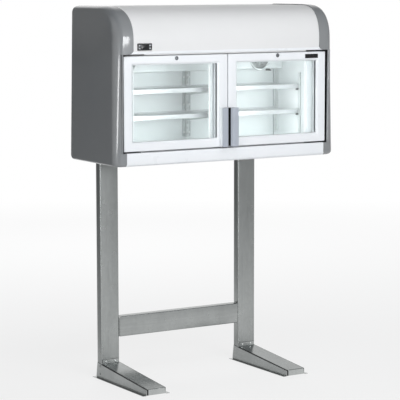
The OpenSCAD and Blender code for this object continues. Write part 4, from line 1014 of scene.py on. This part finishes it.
# Cover over the evaporator, with two fan openings and air slots below
evaporator = {"front": 300, "back": 375.5, "low": 1463, "high": 1560, "half": 502, "sheet": 2, "bend": 5,
              "fanX": 371, "fanZ": 1510, "hole": [(48, 294), (48, 306)], "guardDepth": 296.6,
              "slots": 15, "slotPitch": 36, "slotHalf": 13, "slotDepth": (330, 336)}
# the black rims just outside the fan rings paint the shadow round their outer edges
ringProfiles = {
    "fanRings": ("liner", [(54, 300.2), (54, 296.4), (52.6, 294.8), (50, 294.2), (48.4, 294.8),
                           (47.4, 296.2), (47.2, 300.2)]),
    "fanRingGaskets": ("black_strip", [(55.2, 300.1), (55.2, 298.6), (53.8, 298.6), (53.8, 300.1)])}


def roundFans(profile, looped=False):
    shape = bmesh.new()
    for side in (-1, 1):
        turned(shape, (side * evaporator["fanX"], evaporator["fanZ"]), profile, 64, looped)
    return shape


shape = bmesh.new()
foldedSheet(shape, [(evaporator["front"], evaporator["high"]), (evaporator["front"], evaporator["low"]),
                    (evaporator["back"], evaporator["low"])], evaporator["bend"], evaporator["sheet"],
            acrossX, -evaporator["half"], evaporator["half"], steps=8)
cover = shown("evaporatorCover", meshFrom(shape, "evaporatorCover"))
cutBy(cover, roundFans(evaporator["hole"]))
slotHigh = (evaporator["low"] - 2, evaporator["low"] + 5)
slotRoom = []
for k in range(evaporator["slots"]):
    x = (k - evaporator["slots"] // 2) * evaporator["slotPitch"]
    wide = (x - evaporator["slotHalf"], x + evaporator["slotHalf"])
    slotRoom.append((wide, evaporator["slotDepth"], slotHigh))
cutBy(cover, blocks(*slotRoom))
finished(cover, "liner", "cabinet", ["evaporator_cover"])
for name, (slotName, profile) in ringProfiles.items():
    built(roundFans(profile, True), name, slotName, "cabinet")

fanGuard = {"Radius": 0.0482, "Wire": 0.0009, "Rings": 4}
spokes = {"count": 4, "lift": -0.0016}


def fanGuardTree():
    tree, given = newTree("fanGuardWires", fanGuard)
    section = node(tree, "GeometryNodeCurvePrimitiveCircle", {"Resolution": 8}, {"Radius": given["Wire"]})
    gathered = node(tree, "GeometryNodeJoinGeometry")
    for k in range(1, fanGuard["Rings"] + 1):
        hoop = node(tree, "GeometryNodeCurvePrimitiveCircle", {"Resolution": 48},
                    {"Radius": maths(tree, "MULTIPLY", given["Radius"], k / fanGuard["Rings"])})
        wire = node(tree, "GeometryNodeCurveToMesh",
                    links={"Curve": hoop.outputs["Curve"], "Profile Curve": section.outputs["Curve"]})
        tree.links.new(wire.outputs["Mesh"], gathered.inputs["Geometry"])
    for k in range(spokes["count"]):
        turn = math.pi * k / spokes["count"]
        x, y = fanGuard["Radius"] * math.cos(turn), fanGuard["Radius"] * math.sin(turn)
        spoke = node(tree, "GeometryNodeCurvePrimitiveLine",
                     {"Start": (-x, -y, spokes["lift"]), "End": (x, y, spokes["lift"])})
        wire = node(tree, "GeometryNodeCurveToMesh", {"Fill Caps": True},
                    {"Curve": spoke.outputs["Curve"], "Profile Curve": section.outputs["Curve"]})
        tree.links.new(wire.outputs["Mesh"], gathered.inputs["Geometry"])
    placed = node(tree, "GeometryNodeJoinGeometry")
    for side in (-1, 1):
        spot = at(side * evaporator["fanX"], evaporator["guardDepth"], evaporator["fanZ"])
        moved = node(tree, "GeometryNodeTransform", {"Translation": spot, "Rotation": (math.pi / 2, 0, 0)},
                     {"Geometry": gathered.outputs["Geometry"]})
        tree.links.new(moved.outputs["Geometry"], placed.inputs["Geometry"])
    closeTree(tree, placed.outputs["Geometry"], "liner")
    return tree, fanGuard


guards = shown("fanGuards", bpy.data.meshes.new("fanGuards"))
finished(runTree(guards, *fanGuardTree()), "liner", "cabinet", smooth=60)

# Fans: a hub and swept blades with a little camber
fans = {"evaporator": {"places": [(nodeSide, side * evaporator["fanX"], evaporator["fanZ"])
                                  for side, _, nodeSide in leftAndRight],
                       "depth": (318, 334), "radius": 38.4, "hub": 13, "blades": 5, "bore": 3.2,
                       "look": "upright_steel"},
        "condenser": {"places": [("condenser", 160, 1678.3)], "depth": (352, 370), "radius": 58.5,
                      "hub": 20, "blades": 5, "bore": 4.2, "look": "black_fan"}}
blade = {"rings": 7, "rootIn": 1.5, "sweep": 0.42, "span": (0.92, 0.18), "margin": 4.5,
         "pitch": (0.5, 0.12), "thick": (1.0, 0.45), "camber": 1.2, "thinning": 0.6}


def bladeRings(fan, x, z, start):
    near, far = fan["depth"]
    rings = []
    for j in range(blade["rings"]):
        share = j / (blade["rings"] - 1)
        span, pitch, thick = [blade[part][0] - blade[part][1] * share for part in ("span", "pitch", "thick")]
        radius = fan["hub"] - blade["rootIn"] + (fan["radius"] - fan["hub"] + blade["rootIn"]) * share
        pitch = (far - near - blade["margin"]) * pitch
        front, rear = [], []
        for t in (-1, -0.5, 0, 0.5, 1):
            angle = start + blade["sweep"] * share + t * span / 2
            depth = (near + far) / 2 + t * pitch + blade["camber"] * (1 - t * t)
            for row, shift in ((front, -thick), (rear, thick)):
                row.append(at(x + radius * math.cos(angle), depth + shift * (1 - blade["thinning"] * abs(t)),
                              z + radius * math.sin(angle)))
        rings.append(front + rear[::-1])
    return rings


def hubProfile(fan):
    near, far = fan["depth"]
    bore, hub = fan["bore"], fan["hub"]
    return [(bore, far), (hub - 1, far), (hub, far - 1), (hub, near + 2.5), (hub - 1.2, near + 0.6),
            (hub - 4, near), (bore + 1, near), (bore, near + 0.6)]


for kind, fan in fans.items():
    for where, x, z in fan["places"]:
        shape = bmesh.new()
        turned(shape, (x, z), hubProfile(fan), 40, True)
        for k in range(fan["blades"]):
            loftedRings(shape, bladeRings(fan, x, z, 2 * math.pi * k / fan["blades"]))
        replaced = "condenser_fan" if kind == "condenser" else "evaporator_fan_" + where
        built(shape, "fan" + kind.title() + where.title(), "black_fan", "fan_" + where, [replaced],
              look=fan["look"])
print("chamber made")


# Fasteners: heads grown on marked spots

fasteners = {"panHead": {"Head radius": 0.005, "Head height": 0.0026, "Recess": 0.0012},
             "hexBolt": {"Head radius": 0.0081, "Head height": 0.0055, "Washer radius": 0.009,
                         "Washer thickness": 0.0016}}


def panHeadTree(turn):
    sizes = fasteners["panHead"]
    tree, given = newTree("panHeadScrews", sizes)
    dome = node(tree, "GeometryNodeMeshUVSphere", {"Segments": 20, "Rings": 10},
                {"Radius": given["Head radius"]})
    flat = node(tree, "ShaderNodeCombineXYZ", {"X": 1.0, "Y": 1.0},
                {"Z": maths(tree, "DIVIDE", given["Head height"], given["Head radius"])})
    head = node(tree, "GeometryNodeTransform",
                links={"Geometry": dome.outputs["Mesh"], "Scale": flat.outputs[0]})
    crossed = node(tree, "GeometryNodeMeshBoolean", operation="DIFFERENCE")
    tree.links.new(head.outputs["Geometry"], crossed.inputs[0])
    for k in (0, 1):
        long, thin = maths(tree, "MULTIPLY", given["Head radius"], 1.25), given["Recess"]
        size = node(tree, "ShaderNodeCombineXYZ", {"Z": 0.003},
                    {"X": (long, thin)[k], "Y": (thin, long)[k]})
        bar = node(tree, "GeometryNodeMeshCube", links={"Size": size.outputs[0]})
        raised = node(tree, "GeometryNodeTransform", {"Translation": (0, 0, sizes["Head height"] + 0.0003)},
                      {"Geometry": bar.outputs["Mesh"]})
        tree.links.new(raised.outputs["Geometry"], crossed.inputs[1])
    spread = node(tree, "GeometryNodeInstanceOnPoints", {"Rotation": turn},
                  {"Points": given["Geometry"], "Instance": crossed.outputs[0]})
    closeTree(tree, spread.outputs["Instances"], "zinc")
    return tree, sizes


def hexBoltTree(turn):
    sizes = fasteners["hexBolt"]
    tree, given = newTree("hexBolts", sizes)
    head = node(tree, "GeometryNodeMeshCylinder", {"Vertices": 6},
                {"Radius": given["Head radius"], "Depth": given["Head height"]})
    washer = node(tree, "GeometryNodeMeshCylinder", {"Vertices": 32},
                  {"Radius": given["Washer radius"], "Depth": given["Washer thickness"]})
    both = node(tree, "GeometryNodeJoinGeometry")
    thick = sizes["Washer thickness"]
    for part, lift in ((head, thick + sizes["Head height"] / 2), (washer, thick / 2)):
        raised = node(tree, "GeometryNodeTransform", {"Translation": (0, 0, lift)},
                      {"Geometry": part.outputs["Mesh"]})
        tree.links.new(raised.outputs["Geometry"], both.inputs["Geometry"])
    spread = node(tree, "GeometryNodeInstanceOnPoints", {"Rotation": turn},
                  {"Points": given["Geometry"], "Instance": both.outputs["Geometry"]})
    closeTree(tree, spread.outputs["Instances"], "zinc")
    return tree, sizes


def marked(name, spots):
    mesh = bpy.data.meshes.new(name)
    mesh.from_pydata([at(*spot) for spot in spots], [], [])
    return shown(name, mesh)


def postSpots(step, depth, heights):
    return [(side * stand["postX"] + shift, depth, z)
            for side in (-1, 1) for shift in (-step, step) for z in heights]


quarter = math.pi / 2
footSide = stand["postX"] + foot["half"]
screwAt = {"tab": (24.5, foot["tabY"], [79]), "sideDepth": 448, "sideZ": (20, 56), "trackX": (-15, 15),
           "trackZ": (1166, 1300, 1432),
           "hanger": (19.6, stand["front"] + stand["sheet"], [1153.2, 1323.2, 1493.2])}
screwRows = {
    "tabScrews": (panHeadTree, (quarter, 0, 0), postSpots(*screwAt["tab"])),
    "sideScrewsLeft": (panHeadTree, (0, -quarter, 0),
                       [(-footSide, screwAt["sideDepth"], z) for z in screwAt["sideZ"]]),
    "sideScrewsRight": (panHeadTree, (0, quarter, 0),
                        [(footSide, screwAt["sideDepth"], z) for z in screwAt["sideZ"]]),
    "trackScrews": (panHeadTree, (quarter, 0, 0), [(x, chamberLines["trackDepth"][0], z)
                                                   for x in screwAt["trackX"] for z in screwAt["trackZ"]]),
    "hangerBolts": (hexBoltTree, (-quarter, 0, 0), postSpots(*screwAt["hanger"])),
}
for name, (treeMaker, turn, spots) in screwRows.items():
    finished(runTree(marked(name, spots), *treeMaker(turn)), "zinc", "cabinet",
             ["stand_fasteners"] if name == "tabScrews" else [],
             bevel=0.35 if name == "hangerBolts" else 0.0,
             look="galvanised" if name.startswith("side") else None)

# Hooded louvres over the slots at the back
louvres = {"Width": 0.196, "Hood": 0.0065, "Rows": 9, "Columns": 3, "Row pitch": 0.0131,
           "Column pitch": 0.230}
louvreField = {"middle": (0, 437.7, 1679.6), "sheet": 0.8}


def louvreTree():
    tree, given = newTree("louvreHoods", louvres)
    strip = node(tree, "GeometryNodeMeshGrid", {"Size Y": 1.0, "Vertices X": 2, "Vertices Y": 7},
                 {"Size X": given["Width"]})
    spot = axes(tree, node(tree, "GeometryNodeInputPosition").outputs[0])
    turn = maths(tree, "MULTIPLY", maths(tree, "ADD", spot["Y"], 0.5), math.pi / 2)
    place = node(tree, "ShaderNodeCombineXYZ", links={
        "X": spot["X"], "Y": maths(tree, "MULTIPLY", maths(tree, "SINE", turn), given["Hood"]),
        "Z": maths(tree, "MULTIPLY", maths(tree, "COSINE", turn), given["Hood"])})
    hood = node(tree, "GeometryNodeSetPosition",
                links={"Geometry": strip.outputs["Mesh"], "Position": place.outputs[0]})
    width = maths(tree, "MULTIPLY", given["Column pitch"], maths(tree, "SUBTRACT", given["Columns"], 1.0))
    height = maths(tree, "MULTIPLY", given["Row pitch"], maths(tree, "SUBTRACT", given["Rows"], 1.0))
    field = node(tree, "GeometryNodeMeshGrid",
                 links={"Size X": width, "Size Y": height, "Vertices X": given["Columns"],
                        "Vertices Y": given["Rows"]})
    stood = node(tree, "GeometryNodeTransform",
                 {"Translation": at(*louvreField["middle"]), "Rotation": (quarter, 0, 0)},
                 {"Geometry": field.outputs["Mesh"]})
    spread = node(tree, "GeometryNodeInstanceOnPoints",
                  links={"Points": stood.outputs["Geometry"], "Instance": hood.outputs["Geometry"]})
    closeTree(tree, spread.outputs["Instances"], "white_sheet")
    return tree, louvres


hoods = shown("louvreHoods", bpy.data.meshes.new("louvreHoods"))
runTree(hoods, *louvreTree())
thickened(hoods, louvreField["sheet"], 0)
finished(hoods, "white_sheet", "cabinet")

# Cable gland at the back
gland = {"centre": (-115, 1662),
         "profile": [(3.8, 425.9), (9.6, 425.9), (10, 426.4), (10, 431.2), (14, 431.2), (14, 435.8),
                     (10, 435.8), (10, 437.8), (14, 437.8), (14, 441.4), (13.2, 442.6), (7.6, 442.8),
                     (7, 443.4), (7, 454.6), (6.2, 455.8), (4.6, 455.8), (3.8, 455.0)]}
shape = bmesh.new()
turned(shape, gland["centre"], gland["profile"], 40, True)
built(shape, "cableGland", "black_strip", "cabinet", ["mains_inlet"])
print("fasteners and back made")


# Camera at the photograph's angle
view = {"place": (-4.3820, -7.1366, 1.8867), "target": (-0.15187, -0.2305, 0.88666), "lens": 159.55,
        "roll": -0.088}
ahead = (Vector(view["target"]) - Vector(view["place"])).normalized()
right = ahead.cross(Vector((0, 0, 1))).normalized()
roll = math.radians(view["roll"])
up = right.cross(ahead)
rightTurned = right * math.cos(roll) + up * math.sin(roll)
upTurned = up * math.cos(roll) - right * math.sin(roll)
camera = bpy.data.objects.new("camera", bpy.data.cameras.new("camera"))
bpy.context.scene.collection.objects.link(camera)
camera.matrix_world = Matrix.Translation(view["place"]) @ Matrix(
    (rightTurned, upTurned, -ahead)).transposed().to_4x4()
camera.data.lens = view["lens"]
camera.data.sensor_width = 36
camera.data.clip_end = 200
bpy.context.scene.camera = camera
bpy.context.scene.view_settings.view_transform = "Standard"

# Studio: a white surround for the camera, a softer one for the light itself,
# brighter from the front and the right
studio = {"key": (0.42, -0.88, 0.05), "keyLight": (-0.9, 0.9, 0.02, 0.48), "ceiling": (0.15, 0.85, 1.0, 0.8),
          "backdrop": (0.45, 0.8, 0.0, 1.0), "horizon": (-0.01, 0.03, 0.3, 1.0),
          "leftFade": (-0.25, 0.2, 0.2, 1.0), "sideCard": (-0.99, 0.09, 0.05),
          "sideSpread": (0.80, 0.93, 0.0, 1.0)}


# Seen by the camera, straight or through glass, but not by light scattered inside
def directly(tree, rays):
    unscattered = maths(tree, "LESS_THAN", rays["Diffuse Depth"], 0.5)
    through = maths(tree, "MULTIPLY", rays["Is Transmission Ray"], unscattered)
    return maths(tree, "MAXIMUM", rays["Is Camera Ray"], through)


def sideCard(tree, way):
    return ramp(tree, towards(tree, way, studio["sideCard"]), *studio["sideSpread"])


def makeWorld():
    world = bpy.data.worlds.new("studio")
    world.use_nodes = True
    tree = world.node_tree
    tree.nodes.clear()
    way = node(tree, "ShaderNodeTexCoord").outputs["Generated"]
    aside, back, height = axes(tree, way)
    lightFrom = ramp(tree, towards(tree, way, studio["key"]), *studio["keyLight"])
    level = maths(tree, "MULTIPLY", lightFrom, ramp(tree, height, *studio["ceiling"]))
    behind = maths(tree, "MULTIPLY", ramp(tree, back, *studio["backdrop"]),
                   ramp(tree, height, *studio["horizon"]))
    behind = maths(tree, "MULTIPLY", behind, ramp(tree, aside, *studio["leftFade"]))
    behind = maths(tree, "MAXIMUM", behind, sideCard(tree, way))
    rays = node(tree, "ShaderNodeLightPath").outputs
    open_ = directly(tree, rays)
    open_ = maths(tree, "MAXIMUM", open_, maths(tree, "MULTIPLY", rays["Is Glossy Ray"], behind))
    seen = node(tree, "ShaderNodeBackground", {"Color": (1, 1, 1, 1), "Strength": 1.0})
    lit = node(tree, "ShaderNodeBackground", {"Color": linear("#f7fafd")}, {"Strength": level})
    mixed = node(tree, "ShaderNodeMixShader", links={0: open_, 1: lit.outputs[0], 2: seen.outputs[0]})
    node(tree, "ShaderNodeOutputWorld", links={"Surface": mixed.outputs[0]})
    bpy.context.scene.world = world


# Floor: white to the camera from a few metres out. In reflections it glows as painted light, bright near
# the object and dark far off, with painted shade at the left behind it and about its feet
floorLook = {"rings": (0.9, 2.5, 6, 14, 40, 80), "corners": 48, "tone": ("#d4d4d4", "#d9d9d9"),
             "share": (1.2, 7.0, 0.78, 1.0), "glossy": (1.5, 6.0, 0.92, 0.10),
             "leftRear": ((-0.95, -0.45, 0.9, 0.0), (-0.1, 0.6, 0.0, 1.0)),
             "atFeet": ((0.7, 1.3, 0.62, 0.0), (-0.24, -0.16, 0.0, 1.0)),
             "frontRight": (3.2, 4.6, 0.0, 0.32), "rear": ((1.0, 4.0, 0.0, 0.95), (-0.5, 1.0, 0.0, 1.0)),
             "card": (4.0, 9.0, 0.0, 0.9)}


def floorDisc():
    shape = bmesh.new()
    count = floorLook["corners"]
    angles = [2 * math.pi * k / count for k in range(count)]
    rows = [[shape.verts.new((r * math.cos(a), r * math.sin(a), 0)) for a in angles]
            for r in floorLook["rings"]]
    shape.faces.new(rows[0])
    for one, two in zip(rows, rows[1:]):
        for k in range(count):
            shape.faces.new((one[k], two[k], two[(k + 1) % count], one[(k + 1) % count]))
    return shape


def makeFloor():
    floor = shown("floor", meshFrom(floorDisc(), "floor"))
    material, tree, place = blankMaterial("paintedStudioFloor")
    far = node(tree, "ShaderNodeVectorMath", links={0: place}, operation="LENGTH").outputs["Value"]
    x, y, _ = axes(tree, place)

    def field(first, second, look):
        return maths(tree, "MULTIPLY", ramp(tree, first, *look[0]), ramp(tree, second, *look[1]))

    share = ramp(tree, far, *floorLook["share"])
    glossy = ramp(tree, far, *floorLook["glossy"])
    shaded = maths(tree, "MAXIMUM", field(x, y, floorLook["leftRear"]), field(far, y, floorLook["atFeet"]))
    glossy = maths(tree, "MULTIPLY", glossy, maths(tree, "SUBTRACT", 1.0, shaded))
    glossy = maths(tree, "ADD", glossy, ramp(tree, x, *floorLook["frontRight"]))
    glossy = maths(tree, "MAXIMUM", glossy, field(y, x, floorLook["rear"]))
    way = node(tree, "ShaderNodeVectorMath", links={0: place}, operation="NORMALIZE").outputs["Vector"]
    card = maths(tree, "MULTIPLY", sideCard(tree, way), ramp(tree, far, *floorLook["card"]))
    glossy = maths(tree, "MAXIMUM", glossy, card)
    rays = node(tree, "ShaderNodeLightPath").outputs
    seen = directly(tree, rays)
    share = maths(tree, "MAXIMUM", maths(tree, "MULTIPLY", share, seen),
                  maths(tree, "MULTIPLY", glossy, rays["Is Glossy Ray"]))
    tone = blendColours(tree, noise(tree, place, 900.0, 2.0), *floorLook["tone"])
    paint = node(tree, "ShaderNodeBsdfDiffuse", links={"Color": tone})
    white = node(tree, "ShaderNodeEmission", {"Color": (1, 1, 1, 1), "Strength": 1.0})
    mixed = node(tree, "ShaderNodeMixShader", links={0: share, 1: paint.outputs[0], 2: white.outputs[0]})
    closeMaterial(tree, mixed)
    floor.data.materials.append(material)


lamps = {
    "keySoftbox": {"place": (0.34, -4.6, 1.865), "aim": (0.1, 0.0, 1.6), "size": (2.45, 0.87), "power": 88},
    "sideSoftbox": {"place": (-4.7, -2.95, 0.98), "aim": (-0.59, -0.2, 1.1), "size": (1.3, 0.95),
                    "power": 46},
    "overhead": {"place": (-0.6, -2.2, 4.4), "aim": (0.0, 0.0, 1.0), "size": (2.4, 1.6), "power": 32,
                 "hidden": True},
    "rearSoftbox": {"place": (1.9, 4.7, 2.5), "aim": (0.0, 0.2, 1.2), "size": (2.4, 1.8), "power": 120,
                    "hidden": True},
}

# The light of the lit profiles: hidden lamps behind the shelf lips, one for each
# bay and field, and two that throw it across at the door edges
chamberLight = {"depth": 160, "bays": ((1186, 0.09, 0.030), (1318, 0.07, 0.022), (1424, 0.045, 0.008)),
                "fields": ((-382, 0.20, 0.9), (-130, 0.22, 0.8), (130, 0.22, 0.6), (382, 0.20, 3.0)),
                "spread": 1.12, "aimDepth": 370, "aimDrop": 8,
                "across": ((-440, -60, 22, 0.8), (100, 500, 60, 0.62)), "acrossDepth": 100,
                "acrossZ": 1336, "acrossSize": (0.03, 0.34)}
for bay, (z, high, power) in enumerate(chamberLight["bays"]):
    for field, (x, wide, share) in enumerate(chamberLight["fields"]):
        aim = at(x * chamberLight["spread"], chamberLight["aimDepth"], z - chamberLight["aimDrop"])
        lamps[f"bay{bay}field{field}"] = {"place": at(x, chamberLight["depth"], z), "aim": aim,
                                          "size": (wide, high), "power": power * share, "hidden": True}
for (_, sideName, _), (x, aimX, aimDepth, power) in zip(leftAndRight, chamberLight["across"]):
    place = at(x, chamberLight["acrossDepth"], chamberLight["acrossZ"])
    lamps["across" + sideName] = {"place": place, "aim": at(aimX, aimDepth, chamberLight["acrossZ"]),
                                  "size": chamberLight["acrossSize"], "power": power, "hidden": True}


def makeLamps():
    for name, lamp in lamps.items():
        light = bpy.data.lights.new(name, "AREA")
        light.shape = "RECTANGLE"
        light.size, light.size_y = lamp["size"]
        light.energy = lamp["power"]
        light.color = linear("#fdfeff")[:3]
        holder = bpy.data.objects.new(name, light)
        bpy.context.scene.collection.objects.link(holder)
        holder.location = lamp["place"]
        holder.visible_transmission = False
        if lamp.get("hidden"):
            holder.visible_camera = holder.visible_glossy = False
        way = Vector(lamp["aim"]) - Vector(lamp["place"])
        holder.rotation_euler = way.to_track_quat("-Z", "Y").to_euler()


makeWorld()
makeFloor()
makeLamps()
print("studio made")
